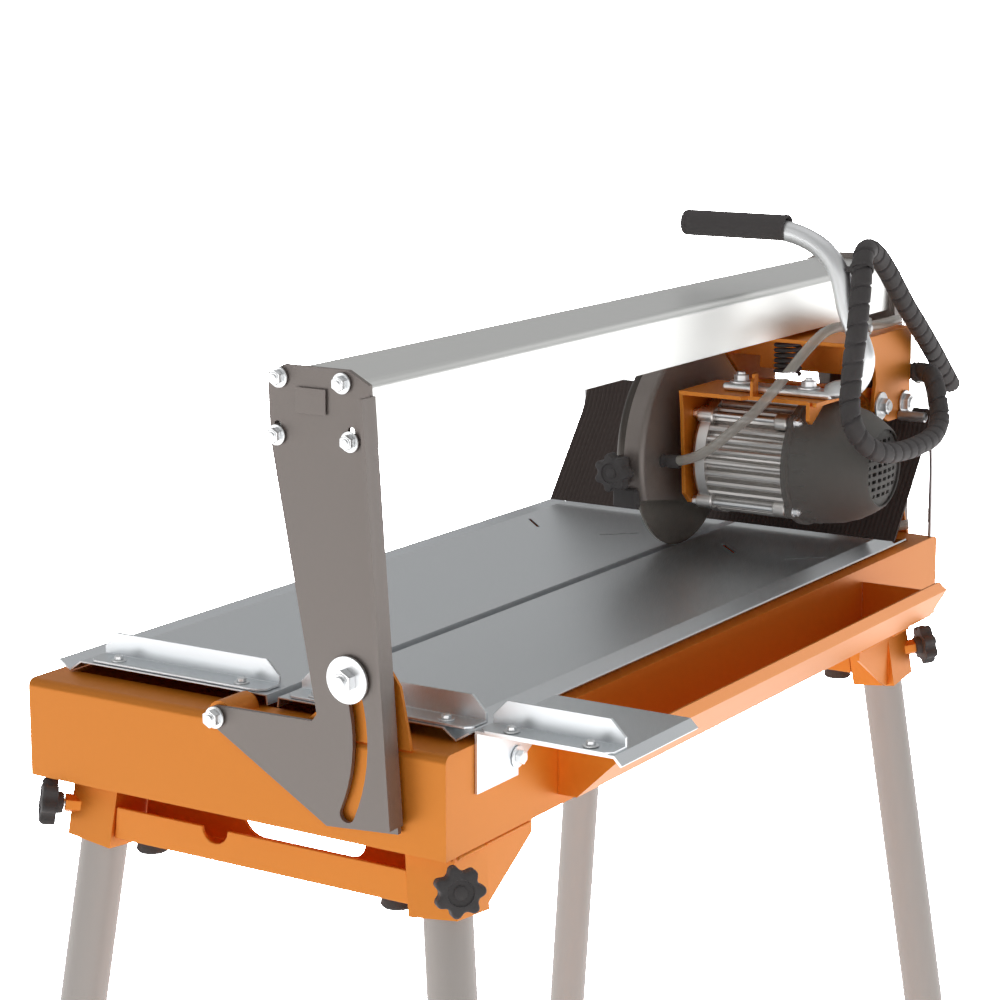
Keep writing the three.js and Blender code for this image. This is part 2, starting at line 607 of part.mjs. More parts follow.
function guardCover() {
  const half = guardHalf(GUARD.left, 15 - GAP, GUARD.left + GUARD.wall, 20, 0.01);
  const ear = join(block(8, 15 - GAP, 607, 620, 172, 200), block(8, 23, 607, 612, 172, 200));
  return cut(join(half, ear), barY(16, 187, 600, 625, KNOB.stem + GAP, 12));
}

/** The diamond blade. */
function blade() {
  const { x, y, z, radius, thickness } = BLADE;
  const disc = barX(y, z, x - thickness / 2, x + thickness / 2, radius, 48);
  return cut(disc, barX(y, z, x - 5, x + 5, 8 + GAP));
}

const bladeFlange = () =>
  cut(join(barX(BLADE.y, BLADE.z, 12, 17.9, 26), barX(BLADE.y, BLADE.z, 6, 13, 12, 6)),
    barX(BLADE.y, BLADE.z, 0, 20, 8 + GAP, 16));

/** The carrying handle that also pulls the head: a bent tube flattened where it is bolted. */
function handleTube() {
  const { y, radius } = HANDLE;
  const path = [
    [202, 271], [210, 271.5], [219, 274], [227, 281], [233, 291], [234, 304], [228, 319], [220, 334], [214, 350],
    [211, 367], [206, 383], [196, 397], [183, 408], [166, 416], [148, 420.5], [132, 422.5],
  ];
  const bend = bentBar(path.map(([x, z]) => [x, y, z]), radius, 26, 12);
  const strap = block(88, 206, y - 13, y + 13, 262 + GAP, 270);
  return join(bend, strap);
}

function grip() {
  const { y, radius } = HANDLE;
  const sleeve = barX(y, 423.5, 38, 150, 12.5);
  const path = [[166, 416], [148, 420.5], [132, 422.5], [118, 423]];
  const room = bentBar(path.map(([x, z]) => [x, y, z]), radius + 0.6, 8, 12);
  return cut(sleeve, room);
}

// ---------------------------------------------------------------- cords and hoses
const WRAP_PATH = [
  [201, 885, 263], [212, 884, 263.5], [222, 878, 262], [231, 868, 254], [238, 861, 238], [245, 850, 222],
  [251, 820, 211.5], [254, 775, 208.5], [254.5, 728, 210], [253.5, 690, 215], [249, 664, 226], [243, 650, 243],
  [238, 650, 262], [236, 656, 284], [235, 662, 308], [235, 668, 332], [233, 676, 354], [230, 686, 374],
  [226, 695, 391], [222, 708, 402], [219, 726, 404], [218, 745, 397], [218, 765, 384], [218, 790, 364],
  [218, 820, 339], [217, 850, 318], [215, 880, 298], [213, 908, 279], [211, 936, 259], [210, 960, 241],
];
const HOSE_PATH = [
  [GUARD.right + 5 + 2 * GAP, 654, 191], [50, 653.5, 192], [66, 650, 196], [84, 647, 204], [103, 643, 217],
  [122, 641, 233], [142, 640, 250], [160, 645, 272], [174, 656, 294], [184, 672, 313], [190, 692, 325],
  [193, 715, 328], [193, 738, 325], [193, 760, 322],
];
const SUPPLY_PATH = [
  [193, 782, 321], [194, 800, 320], [194, 825, 319.5], [193, 850, 319.5], [191, 868, 319], [190, 884, 313],
  [189, 898, 299], [187, 912, 280], [184, 926, 262], [182, 941, 246],
];
const FEED_PATH = [
  [181.9, 942, 244.9], [182.5, 951, 234.5], [187, 962, 214], [192, 970, 190], [195, 973, 160],
  [197, 968, 130], [197, 954, 108], [193, 936, 98], [184, 916, 96], [170, 898, 94], [158, 884, 87],
  [151, 878.5, 76], [150, 878, 68], [150, 878, 62.8],
];

// ---------------------------------------------------------------- building the saw
add(base, 'tank', tank(), ORANGE);
add(base, 'drain_plug', drainPlug(), BLACK);
add(base, 'table_left', table(SLOT.left, 2 - HALF), GALVANISED);
add(base, 'table_right', table(SLOT.right, HALF - 2), GALVANISED);
add(base, 'fence_left', fence(-177, 8), GALVANISED);
add(base, 'fence_middle', fence(30, 208), GALVANISED);
add(base, 'side_table', sideTable(), GALVANISED);
add(base, 'side_wing', sideWing(), ORANGE);
add(base, 'pump', pump(), BLACK);
add(base, 'curtain_frame', curtainFrame(), ZINC);
add(base, 'curtain', curtain(), RUBBER);
add(base, 'cross_member_front', crossMember(17, 60, 60), ORANGE);
add(base, 'cross_member_rear', crossMember(872, 829, 829), ORANGE);

const [LOCK_X, LOCK_Z] = aboutPivot(SLOT_ARC.lock, SLOT_ARC.radius);
const PIVOT_SIZES = { head: 7.5, washer: 8.5, shank: 4 };
const STUD_END = 32; // the pivot stud ends inside the boss
const LOCK_SIZES = { head: 10, washer: 19, shank: 5 };
const front = (x, z, sizes, nutFrom) =>
  boltY(x, z, [-15, -8], [-8.5, -6 - GAP], [-17, nutFrom + 5], [nutFrom, nutFrom + 5], sizes);
const behind = (x, z, sizes, nutFrom) =>
  boltY(x, z, [943.5, 950], [941 + GAP, 944], [nutFrom - 5, 952], [nutFrom - 5, nutFrom], sizes);
/** A pivot bolt: its head, its washer and a stud that ends inside the tank's boss. */
const pivotBolt = (head, washer, stud) => join(
  barY(PIVOT.x, PIVOT.z, ...head, PIVOT_SIZES.head, 6),
  barY(PIVOT.x, PIVOT.z, ...washer, PIVOT_SIZES.washer),
  barY(PIVOT.x, PIVOT.z, ...stud, PIVOT_SIZES.shank, 12),
);
add(base, 'pivot_bolt_front', pivotBolt([-15, -8], [-8.5, -6 - GAP], [-17, STUD_END]), ZINC);
add(base, 'pivot_bolt_rear', pivotBolt([943, 950], [941 + GAP, 943.5], [TANK.length - STUD_END, 952]), ZINC);
add(base, 'lock_bolt_front', front(LOCK_X, LOCK_Z, LOCK_SIZES, 4 + GAP), ZINC);
add(base, 'lock_bolt_rear', behind(LOCK_X, LOCK_Z, LOCK_SIZES, 931 - GAP), ZINC);

for (const [sideName, x] of [['left', SOCKETS.left], ['right', SOCKETS.right]]) {
  for (const [endName, y] of [['front', SOCKETS.front], ['rear', SOCKETS.rear]]) {
    const place = `${endName}_${sideName}`;
    const stand = assembly();
    add(stand, `socket_${place}`, socket(x, y), ORANGE);
    add(stand, `leg_${place}`, leg(x, y), LEG_PAINT);
    add(stand, `leg_tip_${place}`, legTip(x, y), BLACK);
    add(stand, `leg_knob_${place}`, atKnob(starKnob(39, LEG.radius + GAP), x, y), BLACK);
  }
}

const bridge = assembly();
add(bridge, 'bridge_plate_front', bridgePlate(FRONT_PLATE.near, FRONT_PLATE.far, -21, -3), GRAPHITE);
add(bridge, 'bridge_plate_rear', bridgePlate(REAR_PLATE.near, REAR_PLATE.far, 938, 956), GRAPHITE);
add(bridge, 'rail', rail(), ALUMINIUM);

const carriage = assembly();
add(carriage, 'carriage_frame', carriageFrame(), ORANGE);
for (const [place, x, y] of ROLLERS) {
  add(carriage, `roller_${place}`, roller(x, y), BLACK);
}
add(carriage, 'hinge_shaft', hingeShaft(), ZINC);
add(carriage, 'head_spring', spring(), BLACK);
add(carriage, 'switch_box', switchBox(), BLACK);
add(carriage, 'switch_rocker', switchRocker(), BLACK);

const head = assembly();
add(head, 'motor_bracket', motorBracket(), ORANGE);
add(head, 'motor_housing', motorHousing(), CAST);
add(head, 'motor_shaft', motorShaft(), STEEL);
add(head, 'fan_cover', fanCover(), GRAPHITE);
add(head, 'guard_shell', guardShell(), GRAPHITE);
add(head, 'guard_cover', guardCover(), GRAPHITE);
add(head, 'guard_knob', starKnob(0, -12).rotateZ(-Math.PI / 2).translate(16, 603, 187), BLACK);
add(head, 'blade', blade(), STEEL);
add(head, 'blade_flange', bladeFlange(), STEEL);
add(head, 'handle_tube', handleTube(), ZINC);
add(head, 'handle_grip', grip(), BLACK);

const cords = assembly();
add(cords, 'cable_wrap', bentBar(WRAP_PATH, WRAP.radius, 44, 10), BLACK);
add(cords, 'water_hose', bentBar(HOSE_PATH, HOSE.radius, 24, 8), CLEAR);
add(cords, 'supply_hose', bentBar(SUPPLY_PATH, HOSE.radius, 14, 8), CLEAR);
add(cords, 'feed_hose', bentBar(FEED_PATH, HOSE.radius, 18, 8), CLEAR);

saw.position.copy(ORIGIN).negate();

export default saw;
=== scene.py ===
"""A bridge wet tile saw: its finished surfaces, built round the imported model.

Lengths in the classes are millimetres in the saw's drawing: X across the saw, Y along the rail
towards the rear, Z up, from the middle of the tank's front edge at its underside. ``at`` turns
them into metres in the shared frame.
"""

import json
import logging
import math
from dataclasses import dataclass, field
from enum import Enum
from typing import Iterable, Sequence

import bmesh
import bpy
from mathutils import Matrix, Vector

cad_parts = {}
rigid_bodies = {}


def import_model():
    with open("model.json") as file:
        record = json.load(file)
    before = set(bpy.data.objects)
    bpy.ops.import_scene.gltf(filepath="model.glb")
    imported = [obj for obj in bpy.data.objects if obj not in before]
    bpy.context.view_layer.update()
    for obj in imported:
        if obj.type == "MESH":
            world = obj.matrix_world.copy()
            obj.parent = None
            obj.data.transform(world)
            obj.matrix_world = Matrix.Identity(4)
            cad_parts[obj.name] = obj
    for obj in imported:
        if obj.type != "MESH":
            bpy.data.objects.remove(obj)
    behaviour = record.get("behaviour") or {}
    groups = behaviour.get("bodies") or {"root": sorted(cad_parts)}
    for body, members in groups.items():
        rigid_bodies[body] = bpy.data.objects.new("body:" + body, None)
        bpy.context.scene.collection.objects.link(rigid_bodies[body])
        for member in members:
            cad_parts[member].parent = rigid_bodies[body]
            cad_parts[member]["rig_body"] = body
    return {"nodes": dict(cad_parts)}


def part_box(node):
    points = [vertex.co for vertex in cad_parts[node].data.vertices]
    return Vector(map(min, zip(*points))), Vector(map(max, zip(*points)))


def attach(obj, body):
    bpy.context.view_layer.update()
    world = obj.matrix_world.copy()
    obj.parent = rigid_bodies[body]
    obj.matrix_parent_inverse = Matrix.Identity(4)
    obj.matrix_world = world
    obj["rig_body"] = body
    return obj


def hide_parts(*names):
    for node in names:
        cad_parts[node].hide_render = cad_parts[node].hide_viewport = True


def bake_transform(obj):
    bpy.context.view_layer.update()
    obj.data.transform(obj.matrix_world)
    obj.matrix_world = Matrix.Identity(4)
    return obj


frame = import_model()

LOG = logging.getLogger("tile_saw")
MM = 0.001
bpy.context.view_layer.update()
TANK_LOW, TANK_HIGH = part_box("tank")
ORIGIN = Vector(((TANK_LOW.x + TANK_HIGH.x) / 2, TANK_LOW.y, TANK_LOW.z))
RIGHT, BACK, UP = Vector((1, 0, 0)), Vector((0, 1, 0)), Vector((0, 0, 1))
WELD = 2e-5  # points nearer than this, in metres, are one point
Point = Sequence[float]


def at(x: float, y: float, z: float) -> Vector:
    """A point of the drawing, in metres in the shared frame."""
    return ORIGIN + Vector((x, y, z)) * MM


def shade(red: int, green: int, blue: int) -> tuple[float, float, float, float]:
    """A paint-card colour, 0 to 255 a channel, as linear light with full opacity."""
    linear = [((c / 255 + 0.055) / 1.055) ** 2.4 if c > 10 else c / 3294.6 for c in (red, green, blue)]
    return (*linear, 1.0)


# ------------------------------------------------------------------------- shader groups
class Effect(Enum):
    """The surface effects that several finishes share, each a node group."""

    GRAIN = "fine grain"
    EDGE_WEAR = "edge wear"
    HANDLING = "handling marks"


class Shader:
    """A node tree with short calls for adding nodes and joining them."""

    def __init__(self, tree: bpy.types.NodeTree) -> None:
        """Starts with an empty tree."""
        self.tree = tree
        self.tree.nodes.clear()

    def node(self, kind: str, settings: dict | None = None, **inputs: object) -> bpy.types.Node:
        """Adds a node, sets its options, and fills or joins its inputs.

        Args:
            kind: The node's type name.
            settings: Options of the node itself.
            **inputs: Values or sockets, by input name with spaces as underscores.

        Returns:
            The new node.
        """
        made = self.tree.nodes.new(kind)
        for option, value in (settings or {}).items():
            setattr(made, option, value)
        for name, value in inputs.items():
            self.put(made, name.replace("_", " "), value)
        return made

    def put(self, node: bpy.types.Node, name: str | int, value: object) -> None:
        """Gives an input a value, or joins it to another node's output."""
        if isinstance(value, bpy.types.NodeSocket):
            self.tree.links.new(value, node.inputs[name])
        else:
            node.inputs[name].default_value = value

    def math(self, operation: str, first: object, second: object = 0.0,
             held: bool = True) -> bpy.types.NodeSocket:
        """A sum of two values, held between 0 and 1 unless told otherwise."""
        made = self.node("ShaderNodeMath", {"operation": operation, "use_clamp": held})
        self.put(made, 0, first)
        self.put(made, 1, second)
        return made.outputs[0]

    def ramp(self, value: bpy.types.NodeSocket, low: float, high: float) -> bpy.types.NodeSocket:
        """Stretches the span between two values over 0 to 1."""
        made = self.node("ShaderNodeMapRange", Value=value, From_Min=low, From_Max=high)
        return made.outputs["Result"]

    def mix(self, factor: object, first: object, second: object) -> bpy.types.NodeSocket:
        """A colour between two colours."""
        made = self.node("ShaderNodeMix", {"data_type": "RGBA"})
        self.put(made, 0, factor)
        self.put(made, 6, first)
        self.put(made, 7, second)
        return made.outputs[2]


def shader_group(name: str, inputs: dict[str, float], outputs: Iterable[str]) -> tuple[Shader, dict, dict]:
    """Starts a node group with named value sockets.

    Args:
        name: The group's name.
        inputs: Each input's name and default.
        outputs: The outputs' names.

    Returns:
        The group's shader, its inputs inside, and its outputs' node inputs inside.
    """
    tree = bpy.data.node_groups.new(name, "ShaderNodeTree")
    for key, value in inputs.items():
        socket = tree.interface.new_socket(name=key, in_out="INPUT", socket_type="NodeSocketFloat")
        socket.default_value = value
    for key in outputs:
        tree.interface.new_socket(name=key, in_out="OUTPUT", socket_type="NodeSocketFloat")
    shader = Shader(tree)
    start = shader.node("NodeGroupInput")
    end = shader.node("NodeGroupOutput")
    return shader, {s.name: s for s in start.outputs if s.name}, {s.name: s for s in end.inputs if s.name}


def grain_group() -> bpy.types.NodeTree:
    """Small bumps and the slow drift of tone that sprayed, cast and moulded skins have."""
    shader, given, out = shader_group(Effect.GRAIN.value, {"Scale": 400.0, "Drift Scale": 9.0},
                                      ["Bumps", "Drift"])
    place = shader.node("ShaderNodeTexCoord").outputs["Object"]
    fine = shader.node("ShaderNodeTexNoise", Vector=place, Scale=given["Scale"], Detail=3.0, Roughness=0.55)
    slow = shader.node("ShaderNodeTexNoise", Vector=place, Scale=given["Drift Scale"], Detail=4.0)
    shader.tree.links.new(fine.outputs[0], out["Bumps"])
    shader.tree.links.new(slow.outputs[0], out["Drift"])
    return shader.tree


def edge_wear_group() -> bpy.types.NodeTree:
    """A mask along outer edges, broken up by noise."""
    shader, given, out = shader_group(Effect.EDGE_WEAR.value, {"Amount": 0.3, "Radius": 0.001}, ["Mask"])
    rounded = shader.node("ShaderNodeBevel", {"samples": 4}, Radius=given["Radius"])
    normal = shader.node("ShaderNodeNewGeometry").outputs["Normal"]
    turned = shader.node("ShaderNodeVectorMath", {"operation": "DOT_PRODUCT"})
    shader.put(turned, 0, rounded.outputs[0])
    shader.put(turned, 1, normal)
    edge = shader.ramp(turned.outputs["Value"], 0.995, 0.90)
    place = shader.node("ShaderNodeTexCoord").outputs["Object"]
    patches = shader.node("ShaderNodeTexNoise", Vector=place, Scale=60.0, Detail=5.0, Roughness=0.7)
    broken = shader.ramp(patches.outputs[0], 0.52, 0.66)
    mask = shader.math("MULTIPLY", shader.math("MULTIPLY", edge, broken), given["Amount"])
    shader.tree.links.new(mask, out["Mask"])
    return shader.tree


def handling_group() -> bpy.types.NodeTree:
    """Smears and fine scratches that only change how glossy a surface is."""
    shader, given, out = shader_group(Effect.HANDLING.value, {"Amount": 0.1}, ["Gloss Loss"])
    place = shader.node("ShaderNodeTexCoord").outputs["Object"]
    smear = shader.node("ShaderNodeTexNoise", Vector=place, Scale=14.0, Detail=6.0, Roughness=0.65,
                        Distortion=1.2)
    long = shader.node("ShaderNodeMapping", Vector=place, Scale=(6.0, 160.0, 90.0), Rotation=(0.2, 0.3, 0.6))
    scratch = shader.node("ShaderNodeTexNoise", Vector=long.outputs[0], Scale=5.0, Detail=2.0)
    both = shader.math("ADD", shader.ramp(smear.outputs[0], 0.42, 0.72),
                       shader.ramp(scratch.outputs[0], 0.66, 0.76))
    shader.tree.links.new(shader.math("MULTIPLY", both, given["Amount"]), out["Gloss Loss"])
    return shader.tree


EFFECTS = {
    Effect.GRAIN: grain_group(),
    Effect.EDGE_WEAR: edge_wear_group(),
    Effect.HANDLING: handling_group(),
}


# ------------------------------------------------------------------------- finishes
@dataclass(frozen=True)
class Finish:
    """A sprayed, plated, cast or moulded finish.

    ``slot`` is the record's material slot, ``name`` the material's own name, ``deep`` the tone that it
    drifts to at random in broad patches, ``worn`` what shows where an edge is rubbed, and ``bump`` the
    height of its grain in metres.
    """

    slot: str
    tone: tuple
    deep: tuple
    roughness: float
    metallic: float = 0.0
    coat: float = 0.0
    coat_roughness: float = 0.1
    grain: float = 500.0
    bump: float = 0.00002
    drift: float = 10.0
    worn: tuple = (0.5, 0.5, 0.5, 1.0)
    wear: float = 0.0
    handling: float = 0.06
    specular: float = 0.5
    clear: float = 0.0
    name: str = ""

    def effect(self, shader: Shader, effect: Effect, **inputs: float) -> bpy.types.Node:
        """Places a shared node group and gives its inputs their values."""
        made = shader.node("ShaderNodeGroup", {"node_tree": EFFECTS[effect]})
        for name, value in inputs.items():
            shader.put(made, name.replace("_", " "), value)
        return made

    def colour(self, shader: Shader, drift: bpy.types.NodeSocket) -> bpy.types.NodeSocket:
        """The base colour before wear: the tone, drifting a little to the deep one."""
        return shader.mix(shader.ramp(drift, 0.35, 0.75), self.tone, self.deep)

    def height(self, shader: Shader, bumps: bpy.types.NodeSocket) -> bpy.types.NodeSocket:
        """The height that the bump is made from."""
        return bumps

    def material(self) -> bpy.types.Material:
        """The finish's material, made once.

        Returns:
            The material, with its name taken from the slot.
        """
        name = self.name or self.slot
        known = bpy.data.materials.get(name)
        if known:
            return known
        made = bpy.data.materials.new(name)
        made.use_nodes = True
        shader = Shader(made.node_tree)
        grain = self.effect(shader, Effect.GRAIN, Scale=self.grain, Drift_Scale=self.drift)
        marks = self.effect(shader, Effect.HANDLING, Amount=self.handling)
        colour = self.colour(shader, grain.outputs["Drift"])
        rough = shader.math("ADD", marks.outputs["Gloss Loss"], self.roughness)
        bump = shader.node("ShaderNodeBump", Height=self.height(shader, grain.outputs["Bumps"]),
                           Distance=self.bump)
        surface = shader.node("ShaderNodeBsdfPrincipled", Roughness=rough, Normal=bump.outputs[0])
        if self.wear:
            edges = self.effect(shader, Effect.EDGE_WEAR, Amount=self.wear, Radius=0.0012)
            colour = shader.mix(edges.outputs["Mask"], colour, self.worn)
        shader.put(surface, "Base Color", colour)
        fixed = {"Metallic": self.metallic, "Coat Weight": self.coat, "Coat Roughness": self.coat_roughness,
                 "Specular IOR Level": self.specular, "Transmission Weight": self.clear}
        for name, value in fixed.items():
            surface.inputs[name].default_value = value
        end = shader.node("ShaderNodeOutputMaterial")
        shader.tree.links.new(surface.outputs[0], end.inputs["Surface"])
        return made


@dataclass(frozen=True)
class Galvanised(Finish):
    """Hot-dip zinc: flat crystals of slightly different grey."""

    crystal: float = 95.0

    def colour(self, shader: Shader, drift: bpy.types.NodeSocket) -> bpy.types.NodeSocket:
        """Crystals in the two tones, over the slow drift."""
        place = shader.node("ShaderNodeTexCoord").outputs["Object"]
        cells = shader.node("ShaderNodeTexVoronoi", Vector=place, Scale=self.crystal, Randomness=1.0)
        split = shader.node("ShaderNodeSeparateColor", Color=cells.outputs["Color"])
        spangle = shader.math("MULTIPLY", split.outputs[0], shader.ramp(drift, 0.2, 0.9))
        return shader.mix(spangle, self.tone, self.deep)


@dataclass(frozen=True)
class Turned(Finish):
    """Metal turned or ground about an axis along X, with fine rings about a centre."""

    centre: tuple = (0.0, 0.0, 0.0)
    rings: float = 900.0

    def height(self, shader: Shader, bumps: bpy.types.NodeSocket) -> bpy.types.NodeSocket:
        """Fine rings about the centre, with the grain on them."""
        place = shader.node("ShaderNodeTexCoord").outputs["Object"]
        moved = shader.node("ShaderNodeMapping", Vector=place, Location=tuple(-Vector(self.centre)))
        rings = shader.node("ShaderNodeTexWave", {"wave_type": "RINGS", "rings_direction": "X"},
                            Vector=moved.outputs[0], Scale=self.rings, Distortion=1.0)
        return shader.math("MULTIPLY", rings.outputs["Fac"], bumps)


@dataclass(frozen=True)
class Drawn(Finish):
    """Metal drawn or brushed along Y, with long fine lines."""

    def height(self, shader: Shader, bumps: bpy.types.NodeSocket) -> bpy.types.NodeSocket:
        """Lines along Y."""
        place = shader.node("ShaderNodeTexCoord").outputs["Object"]
        long = shader.node("ShaderNodeMapping", Vector=place, Scale=(900.0, 3.0, 900.0))
        return shader.node("ShaderNodeTexNoise", Vector=long.outputs[0], Scale=1.0, Detail=2.0).outputs[0]


ORANGE = Finish("orange_paint", shade(236, 52, 0), shade(224, 44, 0), 0.34, coat=0.2, coat_roughness=0.1,
                specular=0.2,
                grain=260.0, bump=0.00004, worn=shade(196, 190, 184), wear=0.35, handling=0.08)
GRAPHITE = Finish("graphite_paint", shade(58, 50, 45), shade(50, 43, 38), 0.46, metallic=0.0, specular=0.16,
                  grain=900.0,
                  bump=0.00003, worn=shade(150, 144, 138), wear=0.3, coat=0.15, coat_roughness=0.3)
LEG_PAINT = Finish("leg_paint", shade(104, 94, 85), shade(90, 81, 73), 0.34, metallic=0.35, specular=0.2,
                   grain=1400.0,
                   bump=0.00002, worn=shade(190, 185, 180), wear=0.2, coat=0.25, coat_roughness=0.2)
GALVANISED = Galvanised("galvanised", shade(182, 193, 197), shade(142, 154, 159), 0.27, metallic=0.95,
                        grain=300.0, bump=0.00003, handling=0.12)
ZINC = Finish("zinc_plate", shade(190, 193, 194), shade(158, 161, 163), 0.22, metallic=1.0, grain=700.0,
              bump=0.00001, handling=0.14)
RAIL = Drawn("rail_aluminium", shade(226, 229, 228), shade(216, 219, 219), 0.33, metallic=0.72, grain=500.0,
             bump=0.00001, handling=0.05)
CAST = Finish("cast_aluminium", shade(124, 115, 106), shade(84, 76, 68), 0.4, metallic=0.9, grain=420.0,
              bump=0.00016, drift=26.0, handling=0.14)
STEEL = Finish("shaft_steel", shade(168, 168, 168), shade(140, 140, 140), 0.25, metallic=1.0, grain=600.0)
BLADE_STEEL = Turned("blade_steel", shade(76, 68, 60), shade(54, 47, 41), 0.28, metallic=0.9, grain=500.0,
                     bump=0.00006, centre=tuple(at(19, 726, 193)))
BLACK = Finish("black_plastic", shade(16, 15, 15), shade(11, 10, 10), 0.34, specular=0.28, grain=1100.0,
               bump=0.00006,
               handling=0.1)
FAN_GREY = Finish("graphite_plastic", shade(44, 40, 38), shade(36, 33, 31), 0.42, specular=0.2, grain=1000.0,
                  bump=0.00005,
                  handling=0.08, coat=0.1, coat_roughness=0.35)
CURTAIN = Finish("curtain_rubber", shade(16, 12, 10), shade(10, 8, 7), 0.6, specular=0.14, grain=800.0,
                 bump=0.00008)
GRIP = Finish("grip_rubber", shade(24, 22, 22), shade(18, 17, 17), 0.55, specular=0.18, grain=1300.0,
              bump=0.0001)
HOSE = Finish("clear_hose", shade(240, 233, 218), shade(232, 222, 202), 0.07, grain=90.0, bump=0.00001,
              clear=0.72, specular=0.6, handling=0.04)
CLIP = Finish("", shade(232, 230, 224), shade(220, 217, 208), 0.4, grain=900.0, bump=0.00003,
              name="white_nylon")
SATIN_GUARD = Finish("graphite_paint", shade(84, 77, 71), shade(70, 64, 59), 0.36, metallic=0.35,
                     specular=0.3, grain=900.0,
                     bump=0.00003, worn=shade(160, 155, 150), wear=0.3, coat=0.1, coat_roughness=0.3,
                     name="guard_satin")


# ------------------------------------------------------------------------- forms
class Form:
    """A bmesh being made, in metres, that is shaped by operators and put in place at the end."""

    def __init__(self) -> None:
        """Starts empty."""
        self.bm = bmesh.new()

    def take(self, mesh: bpy.types.Mesh, matrix: Matrix | None = None) -> "Form":
        """Adds a mesh, and drops it."""
        if matrix is not None:
            mesh.transform(matrix)
        self.bm.from_mesh(mesh)
        bpy.data.meshes.remove(mesh)
        return self

    def join(self, other: "Form", matrix: Matrix | None = None) -> "Form":
        """Adds another form, moved by a matrix, and frees it."""
        mesh = bpy.data.meshes.new("joined")
        other.bm.to_mesh(mesh)
        other.bm.free()
        return self.take(mesh, matrix)

    def tidy(self) -> "Form":
        """Merges doubles and points every face outwards."""
        bmesh.ops.remove_doubles(self.bm, verts=self.bm.verts, dist=WELD)
        bmesh.ops.recalc_face_normals(self.bm, faces=self.bm.faces)
        return self

    def soften(self, width: float, segments: int = 2, angle: float = 28.0) -> "Form":
        """Rounds every edge that is sharper than an angle.

        Args:
            width: The bevel's width, in millimetres.
            segments: Its steps.
            angle: The least turn between two faces, in degrees.

        Returns:
            The form.
        """
        sharp = [e for e in self.bm.edges if len(e.link_faces) == 2
                 and e.calc_face_angle(0) > math.radians(angle)]
        bmesh.ops.bevel(self.bm, geom=sharp, offset=width * MM, offset_type="OFFSET", affect="EDGES",
                        segments=segments, profile=0.5, clamp_overlap=True, material=-1)
        return self

    def piece(self, name: str, finish: Finish, body: str, replaced: Iterable[str] = (),
              smooth: float = 38.0, weighted: bool = True) -> bpy.types.Object:
        """Turns the form into a finished piece that rides on a body.

        Args:
            name: The piece's name.
            finish: Its finish.
            body: The body that it moves with.
            replaced: The nodes that it stands for.
            smooth: Edges that turn by less than this are shaded smooth, in degrees.
            weighted: Whether flat faces keep flat shading beside their rounded edges.

        Returns:
            The new object.
        """
        made = self.loose(name, finish, smooth, weighted)
        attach(made, body)
        if replaced:
            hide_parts(*replaced)
        return made

    def loose(self, name: str, finish: Finish, smooth: float = 38.0,
              weighted: bool = True) -> bpy.types.Object:
        """The piece as an object that rides on nothing yet."""
        mesh = bpy.data.meshes.new(name)
        self.bm.to_mesh(mesh)
        self.bm.free()
        mesh.materials.append(finish.material())
        mesh.shade_smooth()
        mesh.set_sharp_from_angle(angle=math.radians(smooth))
        made = bpy.data.objects.new(name, mesh)
        bpy.context.scene.collection.objects.link(made)
        if weighted:
            normals = made.modifiers.new("flat faces stay flat", "WEIGHTED_NORMAL")
            normals.keep_sharp = True
        LOG.info("%s: %d faces", name, len(mesh.polygons))
        return made


def aimed(place: Vector, direction: Vector) -> Matrix:
    """The matrix that takes +Z to a direction and the origin to a place."""
    return Matrix.Translation(place) @ direction.to_track_quat("Z", "Y").to_matrix().to_4x4()


def lathe(profile: Sequence[Point], segments: int = 48) -> Form:
    """A turned form about Z.

    Args:
        profile: Radius and height of each point, in millimetres; the last joins the first when
            they are the same point.
        segments: Steps round the axis.

    Returns:
        The closed form.
    """
    form = Form()
    points = [form.bm.verts.new((radius * MM, 0, height * MM)) for radius, height in profile]
    edges = [form.bm.edges.new(pair) for pair in zip(points, points[1:])]
    bmesh.ops.spin(form.bm, geom=points + edges, cent=(0, 0, 0), axis=(0, 0, 1), angle=math.tau,
                   steps=segments, use_merge=True)
    return form.tidy()


def rod(radius: float, low: float, high: float, segments: int = 32, edge: float = 0.6) -> Form:
    """A round bar along Z with softened ends."""
    edge = min(edge, (high - low) / 3, radius / 2)
    return lathe([(0, low), (radius - edge, low), (radius, low + edge), (radius, high - edge),
                  (radius - edge, high), (0, high)], segments)


def block(x0: float, x1: float, y0: float, y1: float, z0: float, z1: float) -> Form:
    """A box between two values on each axis of the drawing, already in its place."""
    form = Form()
    size = Matrix.Diagonal((*(Vector((x1 - x0, y1 - y0, z1 - z0)) * MM), 1))
    centre = at((x0 + x1) / 2, (y0 + y1) / 2, (z0 + z1) / 2)
    bmesh.ops.create_cube(form.bm, size=1.0, matrix=Matrix.Translation(centre) @ size)
    return form


def smooth_route(points: Sequence[Point], steps: int) -> list[Vector]:
    """A smooth line through points of the drawing, in metres in the shared frame.

    Args:
        points: The route's points, in millimetres.
        steps: Steps from each point to the next.

    Returns:
        The points of the line.
    """
    knots = [at(*p) for p in points]
    ends = [2 * knots[0] - knots[1], *knots, 2 * knots[-1] - knots[-2]]
    line = []
    for before, start, end, after in zip(ends, ends[1:], ends[2:], ends[3:]):
        for i in range(steps):
            t = i / steps
            line.append(0.5 * (2 * start + (end - before) * t
                               + (2 * before - 5 * start + 4 * end - after) * t * t
                               + (3 * start - before - 3 * end + after) * t * t * t))
    return [*line, knots[-1]]


